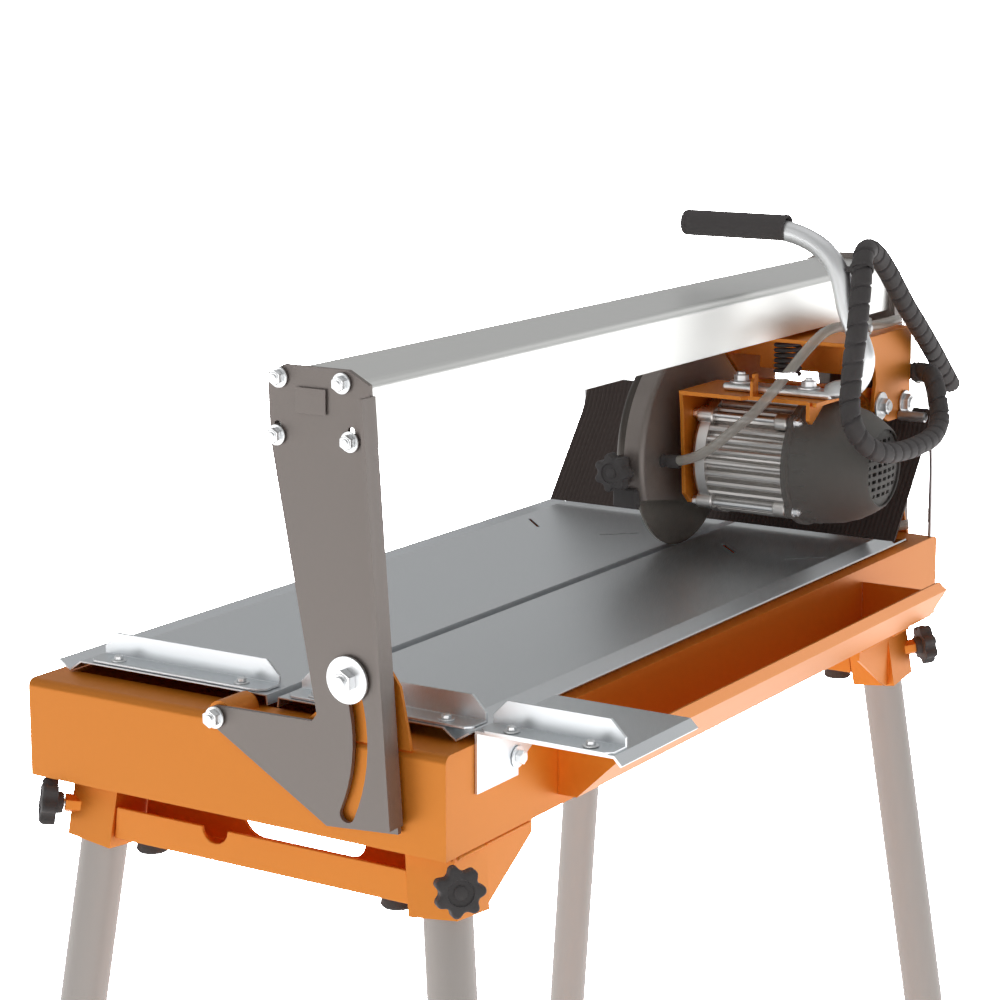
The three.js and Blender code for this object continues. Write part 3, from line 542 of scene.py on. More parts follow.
def tube(line: Sequence[Vector], radius: float, resolution: int = 6) -> Form:
    """A round tube along a line, with closed ends.

    Args:
        line: Its centreline, in metres.
        radius: Its radius, in millimetres.
        resolution: The finer, the more sides.

    Returns:
        The form, whose points lie ring by ring.
    """
    curve = bpy.data.curves.new("line", "CURVE")
    curve.dimensions, curve.twist_mode = "3D", "MINIMUM"
    curve.bevel_depth, curve.bevel_resolution, curve.use_fill_caps = radius * MM, resolution, True
    spline = curve.splines.new("POLY")
    spline.points.add(len(line) - 1)
    for point, place in zip(spline.points, line):
        point.co = (*place, 1.0)
    holder = bpy.data.objects.new("line", curve)
    mesh = bpy.data.meshes.new_from_object(holder)
    bpy.data.objects.remove(holder)
    bpy.data.curves.remove(curve)
    return Form().take(mesh)


def dress(node: str, finish: Finish, width: float, name: str,
          cutters: Sequence[Form] = ()) -> bpy.types.Object:
    """A finished copy of a sheet or block of the frame: merged, cut where needed, and rounded.

    Args:
        node: The node that it stands for.
        finish: Its finish.
        width: The rounding of its edges, in millimetres.
        name: The new piece's name.
        cutters: Forms that cut holes through it.

    Returns:
        The new piece.
    """
    form = Form()
    form.bm.from_mesh(frame["nodes"][node].data)
    bmesh.ops.remove_doubles(form.bm, verts=form.bm.verts, dist=WELD)
    if cutters:
        form = cut_out(form, cutters)
    bmesh.ops.dissolve_limit(form.bm, angle_limit=math.radians(1.0), verts=form.bm.verts, edges=form.bm.edges)
    form.soften(width)
    return form.piece(name, finish, frame["nodes"][node]["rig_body"], [node])


def cut_out(form: Form, cutters: Sequence[Form]) -> Form:
    """Cuts forms out of a form, and frees them all."""
    tool = Form()
    for cutter in cutters:
        tool.join(cutter)
    objects = []
    for part in (form, tool):
        mesh = bpy.data.meshes.new("cut")
        part.bm.to_mesh(mesh)
        part.bm.free()
        objects.append(bpy.data.objects.new("cut", mesh))
        bpy.context.scene.collection.objects.link(objects[-1])
    whole, knife = objects
    hole = whole.modifiers.new("cut", "BOOLEAN")
    hole.operation, hole.solver, hole.object = "DIFFERENCE", "EXACT", knife
    bpy.context.view_layer.update()
    shown = whole.evaluated_get(bpy.context.evaluated_depsgraph_get())
    result = bpy.data.meshes.new_from_object(shown)
    for used in objects:
        old = used.data
        bpy.data.objects.remove(used)
        bpy.data.meshes.remove(old)
    return Form().take(result)


# ------------------------------------------------------------------------- fasteners
@dataclass(frozen=True)
class Bolt:
    """A hexagon bolt with a washer, drawn along Z from the face that it presses on."""

    across: float = 10.0
    height: float = 5.0
    washer: float = 8.0
    washer_thickness: float = 1.4
    stem: float = 6.0
    shank: float = 3.0
    stub: float = 0.0

    def form(self) -> Form:
        """The bolt's form at the origin."""
        radius = self.across / math.sqrt(3)
        low, high = self.washer_thickness, self.washer_thickness + self.height
        form = Form()
        bmesh.ops.create_cone(form.bm, cap_ends=True, segments=6, radius1=radius * MM, radius2=radius * MM,
                              depth=self.height * MM,
                              matrix=Matrix.Translation((0, 0, (low + high) / 2 * MM)))
        form.soften(0.5)
        crown = lathe([(0, high - 0.2), (self.across * 0.44, high - 0.2), (self.across * 0.4, high + 0.5),
                       (0, high + 0.5)], 24)
        form.join(crown)
        washer = [(self.shank, 0), (self.washer - 0.3, 0), (self.washer, 0.3), (self.washer, low - 0.3),
                  (self.washer - 0.3, low), (self.shank, low), (self.shank, 0)]
        form.join(lathe(washer, 32))
        form.join(rod(self.shank, -self.stem, high + max(self.stub, 0.3), 16, 0.4))
        return form


def bolts(name: str, bolt: Bolt, places: Sequence[Vector], direction: Vector, body: str,
          finish: Finish = ZINC, replaced: Iterable[str] = ()) -> bpy.types.Object:
    """One piece that holds equal bolts, all facing one way."""
    form = Form()
    for place in places:
        form.join(bolt.form(), aimed(place, direction))
    return form.piece(name, finish, body, replaced)


def weld(start: Vector, end: Vector, radius: float = 2.2) -> Form:
    """A weld bead between two points: overlapping rounded drops."""
    form = Form()
    count = max(2, int((end - start).length / (radius * MM * 0.9)))
    for i in range(count + 1):
        place = start.lerp(end, i / count)
        bmesh.ops.create_icosphere(form.bm, subdivisions=2,
                                   radius=radius * MM * (0.92 + 0.08 * math.sin(2.4 * i)),
                                   matrix=Matrix.Translation(place))
    return form


@dataclass(frozen=True)
class StarKnob:
    """A moulded star knob with a hub, a recessed cap and a screw, drawn along Z from its hub."""

    radius: float
    lobes: int = 7
    hub: float = 9.0
    hub_height: float = 6.0
    height: float = 13.0
    screw: float = 4.0
    screw_from: float = -18.0

    def reach(self, turn: float) -> float:
        """The lobed outline's share of the full radius at an angle."""
        return 0.885 + 0.115 * math.tanh(1.1 * math.cos(turn * self.lobes)) / math.tanh(1.1)

    def form(self) -> Form:
        """The knob's form at the origin: rings of lobed outline, pulled up from the hub."""
        form = Form()
        steps = self.lobes * 12
        ring = bmesh.ops.create_circle(form.bm, segments=steps, radius=self.radius * MM)["verts"]
        for vert in ring:
            turn = math.atan2(vert.co.y, vert.co.x)
            vert.co *= self.reach(turn)
        low, high = self.hub_height, self.hub_height + self.height
        bmesh.ops.translate(form.bm, verts=ring, vec=(0, 0, low * MM))
        edges = list(form.bm.edges)
        self.pull(form, edges, 0.45, low - 0.2)
        walls = [(0.97, low + 0.8), (1.0, low + 2.6), (1.0, high - 3.0), (0.965, high - 1.0), (0.88, high),
                 (0.52, high + 0.2), (0.49, high - 1.2), (0.30, high - 1.4)]
        for scale, level in walls:
            edges = self.pull(form, edges, scale, level)
        bmesh.ops.edgeloop_fill(form.bm, edges=edges)
        form.tidy()
        form.join(lathe([(0, 0), (self.hub - 1, 0), (self.hub, 1), (self.hub + 0.6, low + 0.4),
                         (0, low + 0.4)], 32))
        form.join(lathe([(0, high - 1.6), (self.radius * 0.27, high - 1.6), (self.radius * 0.27, high - 0.6),
                         (self.radius * 0.2, high), (0, high + 0.15)], 28))
        return form

    def pull(self, form: Form, edges: list, scale: float, level: float) -> list:
        """Extrudes a ring and sets it to a scale of the outline at a level.

        Args:
            form: The form.
            edges: The ring's edges.
            scale: The new ring's scale; rings inside 0.6 of it are round.
            level: Its height, in millimetres.

        Returns:
            The new ring's edges.
        """
        made = bmesh.ops.extrude_edge_only(form.bm, edges=edges)["geom"]
        verts = [g for g in made if isinstance(g, bmesh.types.BMVert)]
        for vert in verts:
            flat = Vector((vert.co.x, vert.co.y, 0))
            turn = math.atan2(flat.y, flat.x)
            outline = 1.0 if scale < 0.6 else self.reach(turn)
            vert.co = flat.normalized() * self.radius * MM * scale * outline + UP * level * MM
        fresh = set(verts)
        return [g for g in made if isinstance(g, bmesh.types.BMEdge) and set(g.verts) <= fresh]

    def pieces(self, name: str, matrix: Matrix, body: str, node: str) -> None:
        """The plastic star and its screw, in place of a node."""
        form = Form().join(self.form(), matrix)
        form.piece(name, BLACK, body, [node], smooth=50)
        screw = Form().join(rod(self.screw, self.screw_from, 1.0, 24), matrix)
        screw.piece(f"{name}_screw", ZINC, body)


# ------------------------------------------------------------------------- view
@dataclass
class Studio:
    """The camera, the soft lights and the pale floor."""

    eye: Point = (1274.3, -1605.0, 676.2)
    elevation: float = 11.54
    azimuth: float = 32.3
    lens: float = 95.4
    floor_size: float = 4000.0
    sky: float = 0.2
    sky_shine: float = 0.25
    floor_shine: float = 2.0
    backdrop: float = 14.0
    lamps: tuple = (
        # name, place in metres, what it faces, size, power
        ("key", (-1.6, -2.6, 3.2), (0.0, 0.0, 0.85), 2.2, 9.0),
        ("fill", (3.4, -1.4, 1.9), (0.1, 0.0, 0.85), 2.4, 3.0),
        ("top", (0.2, 0.4, 3.6), (0.0, 0.0, 0.9), 2.6, 7.0),
        ("rim", (1.0, 3.2, 2.2), (0.0, 0.2, 0.9), 1.8, 4.5),
    )

    def by_ray(self, shader: Shader, plain: float, shine: float) -> bpy.types.NodeSocket:
        """A strength that is larger where it is mirrored and largest where the camera sees it.

        Args:
            shader: The shader that the nodes go into.
            plain: The strength that lights the scene.
            shine: What a mirrored ray sees on top of it.

        Returns:
            The strength.
        """
        ray = shader.node("ShaderNodeLightPath")
        seen = shader.math("MULTIPLY", ray.outputs["Is Camera Ray"], self.backdrop, False)
        mirrored = shader.math("MULTIPLY", ray.outputs["Is Glossy Ray"], shine, False)
        return shader.math("ADD", shader.math("ADD", seen, mirrored, False), plain, False)

    def camera(self) -> None:
        """Makes the camera."""
        data = bpy.data.cameras.new("camera")
        data.lens, data.sensor_width, data.clip_end = self.lens, 36.0, 5000.0
        made = bpy.data.objects.new("camera", data)
        made.location = at(*self.eye)
        made.rotation_euler = (math.radians(90 - self.elevation), 0, math.radians(self.azimuth))
        bpy.context.scene.collection.objects.link(made)
        bpy.context.scene.camera = made

    def light(self) -> None:
        """Makes the lights and a pale world."""
        for name, place, target, size, power in self.lamps:
            data = bpy.data.lights.new(name, "AREA")
            data.size, data.energy = size, power
            made = bpy.data.objects.new(name, data)
            made.location = place
            made.rotation_euler = (Vector(place) - Vector(target)).to_track_quat("Z", "Y").to_euler()
            bpy.context.scene.collection.objects.link(made)
        world = bpy.data.worlds.new("studio")
        world.use_nodes = True
        shader = Shader(world.node_tree)
        strength = self.by_ray(shader, self.sky, self.sky_shine)
        sky = shader.node("ShaderNodeBackground", Color=(1.0, 1.0, 1.0, 1.0), Strength=strength)
        shader.tree.links.new(sky.outputs[0], shader.node("ShaderNodeOutputWorld").inputs["Surface"])
        bpy.context.scene.world = world
        bpy.context.scene.view_settings.view_transform = "Standard"

    def floor(self) -> None:
        """Makes the floor, with a faint unevenness in its tone."""
        form = Form()
        bmesh.ops.create_grid(form.bm, x_segments=2, y_segments=2, size=self.floor_size / 2)
        mesh = bpy.data.meshes.new("floor")
        form.bm.to_mesh(mesh)
        form.bm.free()
        paper = bpy.data.materials.new("floor")
        paper.use_nodes = True
        shader = Shader(paper.node_tree)
        noise = shader.node("ShaderNodeTexNoise", Vector=shader.node("ShaderNodeTexCoord").outputs["Object"],
                            Scale=1.5)
        tone = shader.mix(noise.outputs[0], (0.93, 0.93, 0.93, 1), (0.96, 0.96, 0.955, 1))
        surface = shader.node("ShaderNodeBsdfPrincipled", Base_Color=tone, Roughness=0.9)
        surface.inputs["Emission Color"].default_value = (1.0, 1.0, 1.0, 1.0)
        shader.put(surface, "Emission Strength", self.by_ray(shader, 0.0, self.floor_shine))
        end = shader.node("ShaderNodeOutputMaterial")
        shader.tree.links.new(surface.outputs[0], end.inputs["Surface"])
        mesh.materials.append(paper)
        made = bpy.data.objects.new("floor", mesh)
        bpy.context.scene.collection.objects.link(made)


# ------------------------------------------------------------------------- lines
@dataclass
class Lines:
    """The spiral-wrapped leads and the three clear hoses."""

    wrap_radius: float = 10.0
    wrap_pitch: float = 18.0
    wrap_share: float = 0.92
    wrap_core: float = 0.82
    hose_radius: float = 5.0
    wrap_route: tuple = (
        (201, 885, 263), (212, 884, 263.5), (222, 878, 262), (231, 868, 254), (238, 861, 238),
        (245, 850, 222),
        (251, 820, 211.5), (254, 775, 208.5), (254.5, 728, 210), (253.5, 690, 215), (249, 664, 226),
        (243, 650, 243),
        (238, 650, 262), (236, 656, 284), (235, 662, 308), (235, 668, 332), (233, 676, 354), (230, 686, 374),
        (226, 695, 391), (222, 708, 402), (219, 726, 404), (218, 745, 397), (218, 765, 384), (218, 790, 364),
        (218, 820, 339), (217, 850, 318), (215, 880, 298), (213, 908, 279), (211, 936, 259), (210, 960, 241),
    )
    water_route: tuple = (
        (38.6, 654, 191), (50, 653.5, 192), (66, 650, 196), (84, 647, 204), (103, 643, 217), (122, 641, 233),
        (142, 640, 250), (160, 645, 272), (174, 656, 294), (184, 672, 313), (190, 692, 325), (193, 715, 328),
        (193, 738, 325), (193, 760, 322),
    )
    supply_route: tuple = (
        (193, 782, 321), (194, 800, 320), (194, 825, 319.5), (193, 850, 319.5), (191, 868, 319),
        (190, 884, 313),
        (189, 898, 299), (187, 912, 280), (184, 926, 262), (182, 941, 246),
    )
    feed_route: tuple = (
        (181.9, 942, 244.9), (182.5, 951, 234.5), (187, 962, 214), (192, 970, 190), (195, 973, 160),
        (197, 968, 130),
        (197, 954, 108), (193, 936, 98), (184, 916, 96), (170, 898, 94), (158, 884, 87), (151, 878.5, 76),
        (150, 878, 68), (150, 878, 62.8),
    )

    def wrap(self) -> bpy.types.Object:
        """The leads inside an open spiral strip, bending where they leave the carriage."""
        line = smooth_route(self.wrap_route, 26)
        form = tube(line, self.wrap_radius, 8)
        form.bm.verts.ensure_lookup_table()
        sides = len(form.bm.verts) // len(line)
        along = 0.0
        for i, centre in enumerate(line):
            along += (centre - line[i - 1]).length if i else 0.0
            for j in range(sides):
                turn = (along / MM / self.wrap_pitch - j / sides) % 1.0
                edge = min(turn, self.wrap_share - turn) / 0.035
                lift = max(0.0, min(1.0, edge))
                vert = form.bm.verts[i * sides + j]
                vert.co = centre + (vert.co - centre) * (self.wrap_core + (1 - self.wrap_core) * lift)
        made = form.tidy().loose("cable_spiral_wrap", BLACK, smooth=60, weighted=False)
        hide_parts("cable_wrap")
        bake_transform(made)
        return made

    def hose(self, name: str, node: str, route: tuple, bodies: tuple) -> bpy.types.Object:
        """One length of clear hose, closed at its ends.

        Args:
            name: The piece's name.
            node: The node that it stands for.
            route: Its route.
            bodies: The one body that it rides on; given two, it rides on neither and stays where it is.

        Returns:
            The new piece.
        """
        line = smooth_route(route, 8)
        made = tube(line, self.hose_radius, 6).tidy().loose(name, HOSE, smooth=60, weighted=False)
        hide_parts(node)
        if len(bodies) == 1:
            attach(made, bodies[0])
        else:
            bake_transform(made)
        return made

    def fittings(self) -> None:
        """The hose's spigot at the guard, its clip on the carriage, and the tie round the wrap."""
        spigot = lathe([(0, -4), (6.4, -4), (6.4, 2), (5.6, 3), (5.6, 7), (6.6, 8), (6.6, 18), (5.4, 20),
                        (5.2, 20),
                        (5.2, -3), (0, -3)], 32)
        Form().join(spigot, aimed(at(36, 654.2, 190.8), Vector((1, -0.03, 0.05)))).piece(
            "hose_spigot", BLACK, "head")
        clip = block(186.6, 199.4, 761, 781, 313.2, 330.5).soften(1.4)
        clip.join(rod(6.2, -11.5, 11.5, 32, 1.0), aimed(at(193, 771, 321.6), BACK))
        clip.piece("hose_clip", CLIP, "carriage")
        bolts("hose_clip_screw", Bolt(7, 3.2, 5, 1, 3, 2.2), [at(199.2, 771, 321)], RIGHT, "carriage", STEEL)
        band = lathe([(10.2, -2.4), (11.4, -2.4), (11.4, 2.4), (10.2, 2.4), (10.2, -2.4)], 40)
        tie = Form().join(band, aimed(at(226.6, 693.6, 388.6), Vector((-0.28, 0.6, 0.75))))
        tie.join(block(214, 226, 684, 689, 386, 391).soften(0.8))
        tie.piece("cable_tie", BLACK, "head")
        collar = lathe([(5.3, 0), (7.6, 0), (7.6, 7), (6.6, 8), (5.3, 8), (5.3, 0)], 32)
        Form().join(collar, aimed(at(150, 878, 60), UP)).piece("pump_outlet_collar", BLACK, "stand")

    def build(self) -> None:
        """Makes the cords and what holds them."""
        self.wrap()
        self.hose("head_water_hose", "water_hose", self.water_route, ("head",))
        self.hose("rail_supply_hose", "supply_hose", self.supply_route, ("bridge",))
        self.hose("pump_feed_hose", "feed_hose", self.feed_route, ("stand",))
        self.fittings()


# ------------------------------------------------------------------------- base
@dataclass
class Base:
    """The tank, its tables, stops, wing, curtain, pump and cross members."""

    curtain_line: tuple = ((822, 99), (835, 116), (852, 138), (872, 164), (892, 191), (905, 222))
    curtain_left: float = -195.0
    curtain_right: float = 212.0
    rib_pitch: float = 5.0
    rib_height: float = 1.3
    wire_radius: float = 3.0
    lock: tuple = (125.7, 134.17)
    pivot: tuple = (-5.0, 84.0)

    def sheets(self) -> None:
        """The folded and welded sheet parts."""
        dress("tank", ORANGE, 1.0, "water_tank")
        dress("side_wing", ORANGE, 0.6, "spill_wing")
        for end in ("front", "rear"):
            dress(f"cross_member_{end}", ORANGE, 1.0, f"leg_cross_member_{end}")
        for side in ("left", "right"):
            dress(f"table_{side}", GALVANISED, 0.35, f"cutting_table_{side}")
        dress("fence_left", GALVANISED, 0.7, "tile_fence_left")
        dress("fence_middle", GALVANISED, 0.7, "tile_fence_middle")
        dress("side_table", GALVANISED, 0.6, "extension_table")

    def fixings(self) -> None:
        """The stops' screws, the side table's bolts and the bridge's pivot and lock bolts."""
        screw = Bolt(7, 3.2, 6.5, 1.0, 3, 2.5)
        rows = {"fence_left_screws": ((-150, -20), 97.6), "fence_middle_screws": ((55, 180), 97.6),
                "extension_fence_screws": ((240, 310), 97.4)}
        for name, (xs, z) in rows.items():
            bolts(name, screw, [at(x, 48, z) for x in xs], UP, "stand")
        bolts("extension_bracket_bolt", Bolt(10, 5, 9, 1.6, 3, 3), [at(213.2, 99, 60)], RIGHT, "stand")
        pivot = Bolt(13, 6, 9, 2, 36, 4, 2)
        lock = Bolt(17, 8, 19, 2.6, 10, 5, 3)
        for end, y, direction in (("front", -6.2, -BACK), ("rear", 941.2, BACK)):
            bolts(f"pivot_bolt_and_washer_{end}", pivot, [at(self.pivot[0], y, self.pivot[1])], direction,
                  "stand",
                  ZINC, [f"pivot_bolt_{end}"])
            bolts(f"lock_bolt_and_washer_{end}", lock, [at(self.lock[0], y, self.lock[1])], direction,
                  "stand",
                  ZINC, [f"lock_bolt_{end}"])

    def feet(self) -> None:
        """Rubber buffers under the cross members, on which the saw stands without its legs."""
        for end, y in (("front", 38), ("rear", 850)):
            form = Form()
            for x in (-110, 140):
                foot = lathe([(0, 0), (11, 0), (13, -1.5), (14, -9), (12.5, -11), (0, -11)], 36)
                form.join(foot, aimed(at(x, y, -48.2), UP))
            form.piece(f"buffers_{end}", BLACK, "stand")

    def curtain(self) -> None:
        """The rubber splash curtain, ribbed from side to side of its bend, and its wire."""
        path = smooth_route([(0, y, z) for y, z in self.curtain_line], 6)
        width = self.curtain_right - self.curtain_left
        ribs = round(width / self.rib_pitch)
        form = Form()
        steps = ribs * 4
        left = at(self.curtain_left, 0, 0).x
        row = [form.bm.verts.new((left + width * MM * i / steps, path[0].y,
                                  path[0].z)) for i in range(steps + 1)]
        edges = [form.bm.edges.new(pair) for pair in zip(row, row[1:])]
        for before, after in zip(path, path[1:]):
            made = bmesh.ops.extrude_edge_only(form.bm, edges=edges)["geom"]
            fresh = {g for g in made if isinstance(g, bmesh.types.BMVert)}
            bmesh.ops.translate(form.bm, verts=list(fresh), vec=after - before)
            edges = [g for g in made if isinstance(g, bmesh.types.BMEdge) and set(g.verts) <= fresh]
        bmesh.ops.recalc_face_normals(form.bm, faces=form.bm.faces)
        if next(iter(form.bm.faces)).normal.y > 0:
            bmesh.ops.reverse_faces(form.bm, faces=form.bm.faces)
        form.bm.normal_update()
        normals = {vert: vert.normal.copy() for vert in form.bm.verts}
        shell = bmesh.ops.solidify(form.bm, geom=list(form.bm.faces), thickness=1.6 * MM)
        rear = {g for g in shell["geom"] if isinstance(g, bmesh.types.BMVert)}
        for vert in form.bm.verts:
            if vert in normals and vert not in rear:
                place = (vert.co.x - left) / MM / self.rib_pitch
                vert.co += normals[vert] * self.rib_height * MM * (0.5 - 0.5
                                                                   * math.cos(math.tau * place)) ** 0.7
        form.tidy()
        sheet = form.piece("splash_curtain", CURTAIN, "stand", ["curtain"], smooth=60, weighted=False)
        route = ((-205, 926, 84.3), (-205, 925.5, 120), (-205, 923, 170), (-205, 914, 205), (-198, 911, 216),
                 (-188, 910, 219), (0, 910, 219), (190, 910, 219), (200, 911, 216), (207, 914, 205),
                 (207, 923, 170), (207, 925.5, 120), (207, 926, 84.3))
        wire = tube(smooth_route(route, 8), self.wire_radius, 4)
        wire.tidy().piece("curtain_wire", ZINC, "stand", ["curtain_frame"], smooth=60, weighted=False)
        strap = Form()
        for x in (-170, -60, 60, 180):
            strap.join(block(x - 7, x + 7, 902.5, 914.2, 214.5, 223.5).soften(1.2))
        strap.piece("curtain_clips", BLACK, "stand")

    def pump(self) -> None:
        """The submersible pump: a ribbed case with an outlet and suction feet."""
        form = Form()
        form.bm.from_mesh(frame["nodes"]["pump"].data)
        bmesh.ops.remove_doubles(form.bm, verts=form.bm.verts, dist=WELD)
        bmesh.ops.dissolve_limit(form.bm, angle_limit=0.02, verts=form.bm.verts, edges=form.bm.edges)
        form.soften(2.0, 3)
        for i in range(6):
            x = 129 + i * 8.4
            form.join(block(x - 1, x + 1, 843.8, 892.2, 10, 40).soften(0.5))
        form.piece("pump_case", BLACK, "stand", ["pump"])

    def plug(self) -> None:
        """The drain plug: a turned round body with a narrower top."""
        low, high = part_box("drain_plug")
        centre = Vector(((low.x + high.x) / 2, (low.y + high.y) / 2, high.z))
        depth = (high.z - low.z) / MM
        body = lathe([(0, -depth), (14, -depth), (16.5, -depth + 1.5), (17, -depth + 4), (17, -8.5),
                      (11, -8.4),
                      (11, -0.8), (10, 0), (0, 0)], 48)
        form = Form().join(body, Matrix.Translation(centre))
        form.piece("tank_drain_plug", BLACK, "plug", ["drain_plug"])

    def build(self) -> None:
        """Makes the whole base."""
        self.sheets()
        self.fixings()
        self.feet()
        self.curtain()
        self.pump()
        self.plug()


# ------------------------------------------------------------------------- legs
@dataclass
class Legs:
    """The four sockets, tubes, rubber tips and star knobs."""

    radius: float = 20.0
    splay: tuple = (0.121, 0.098)
    screw_height: float = -29.0
    floor: float = -700.0
    knob: StarKnob = field(default_factory=lambda: StarKnob(20.5, screw_from=-18.5))
    places: dict = field(default_factory=lambda: {
        "front_left": (-157, 38), "rear_left": (-157, 851), "front_right": (186, 38),
        "rear_right": (186, 851)})

    def lean(self, x: float, y: float) -> Matrix:
        """The frame of a leg: its origin at the knob's height, and Z up along the tube."""
        out = Vector((math.copysign(self.splay[0], x), math.copysign(self.splay[1], y - 400),
                      -1)).normalized()
        turn = (-UP).rotation_difference(out).to_matrix().to_4x4()
        return Matrix.Translation(at(x, y, self.screw_height)) @ turn

    def leg(self, name: str, x: float, y: float) -> None:
        """One leg with its tip."""
        frame_of_leg = self.lean(x, y)
        tall = 650.0 / abs((frame_of_leg.to_3x3() @ UP).z)
        wall = 2.0
        profile = [(self.radius - wall, 24.5), (self.radius - 0.4, 24.5), (self.radius, 24),
                   (self.radius, -tall),
                   (self.radius - wall, -tall), (self.radius - wall, 24.5)]
        Form().join(lathe(profile, 64), frame_of_leg).piece(f"tube_{name}", LEG_PAINT, f"leg_{name}",
                                                            [f"leg_{name}"], smooth=60)
        sole = -740.0
        tip = lathe([(0, sole), (24, sole), (24, -641), (23.2, -637.5), (21.5, -636), (20.2, -636),
                     (20.2, -660),
                     (0, -660)], 56)
        form = Form().join(tip, frame_of_leg)
        level = at(0, 0, self.floor)
        everything = [*form.bm.verts, *form.bm.edges, *form.bm.faces]
        bmesh.ops.bisect_plane(form.bm, geom=everything, plane_co=level, plane_no=-UP, clear_outer=True)
        bmesh.ops.holes_fill(form.bm, edges=[e for e in form.bm.edges if e.is_boundary])
        form.tidy().soften(0.8, 2, 60)
        form.piece(f"boot_{name}", BLACK, f"leg_{name}", [f"leg_tip_{name}"])

    def socket(self, name: str, x: float, y: float) -> None:
        """One socket with the weld beads that hold it."""
        dress(f"socket_{name}", ORANGE, 0.9, f"leg_socket_{name}")
        out = 1 if x > 0 else -1
        inward = 1 if y < 400 else -1
        form = weld(at(x + out * 23, y - inward * 18, -2), at(x + out * 23, y + inward * 18, -2), 2.0)
        form.join(weld(at(x - out * 20, y - inward * 22.5, -2), at(x + out * 20, y - inward * 22.5, -2), 2.0))
        form.join(weld(at(x + out * 21, y + inward * 26, -3), at(x + out * 21, y + inward * 88, -3), 1.8))
        form.piece(f"socket_welds_{name}", ORANGE, "stand", smooth=80, weighted=False)

    def star(self, name: str, x: float, y: float) -> None:
        """One clamping knob."""
        turn = Vector((1 if x > 0 else -1, 1 if y > 400 else -1, 0)).normalized()
        matrix = self.lean(x, y) @ aimed(turn * 39 * MM, turn)
        self.knob.pieces(f"star_knob_{name}", matrix, f"knob_{name}", f"leg_knob_{name}")

    def build(self) -> None:
        """Makes all four."""
        for name, (x, y) in self.places.items():
            self.socket(name, x, y)
            self.leg(name, x, y)
            self.star(name, x, y)


# ------------------------------------------------------------------------- bridge
@dataclass
class Bridge:
    """The two end plates, their bolts and the rail."""

    bolt: Bolt = field(default_factory=lambda: Bolt(10.5, 5, 8.2, 1.6, 3, 3, 1.5))
    bolt_places: tuple = ((64, 364), (123, 364), (61, 319), (130, 320))

    def plates(self) -> None:
        """The plates, each with an adjusting slot over each of its two lower bolts, its bolts and a thin boss
        between them.
        """
        for end, face, direction in (("front", -6.0, -BACK), ("rear", 941.0, BACK)):
            cutters = [block(x - 3.2, x + 3.2, face - 12, face + 12, z, z + 11).soften(3.0, 4)
                       for x, z in self.bolt_places[2:]]
            dress(f"bridge_plate_{end}", GRAPHITE, 0.7, f"bridge_end_plate_{end}", cutters)
            bolts(f"rail_bolts_{end}", self.bolt, [at(x, face, z) for x, z in self.bolt_places], direction,
                  "bridge")
            depth = (face, face + 0.8) if direction.y > 0 else (face - 0.8, face)
            block(80, 108, *depth, 338, 358).soften(0.6).piece(f"plate_boss_{end}", GRAPHITE, "bridge")

    def rail(self) -> None:
        """The extruded rail."""
        dress("rail", RAIL, 0.6, "slotted_rail")

    def build(self) -> None:
        """Makes the bridge."""
        self.plates()
        self.rail()


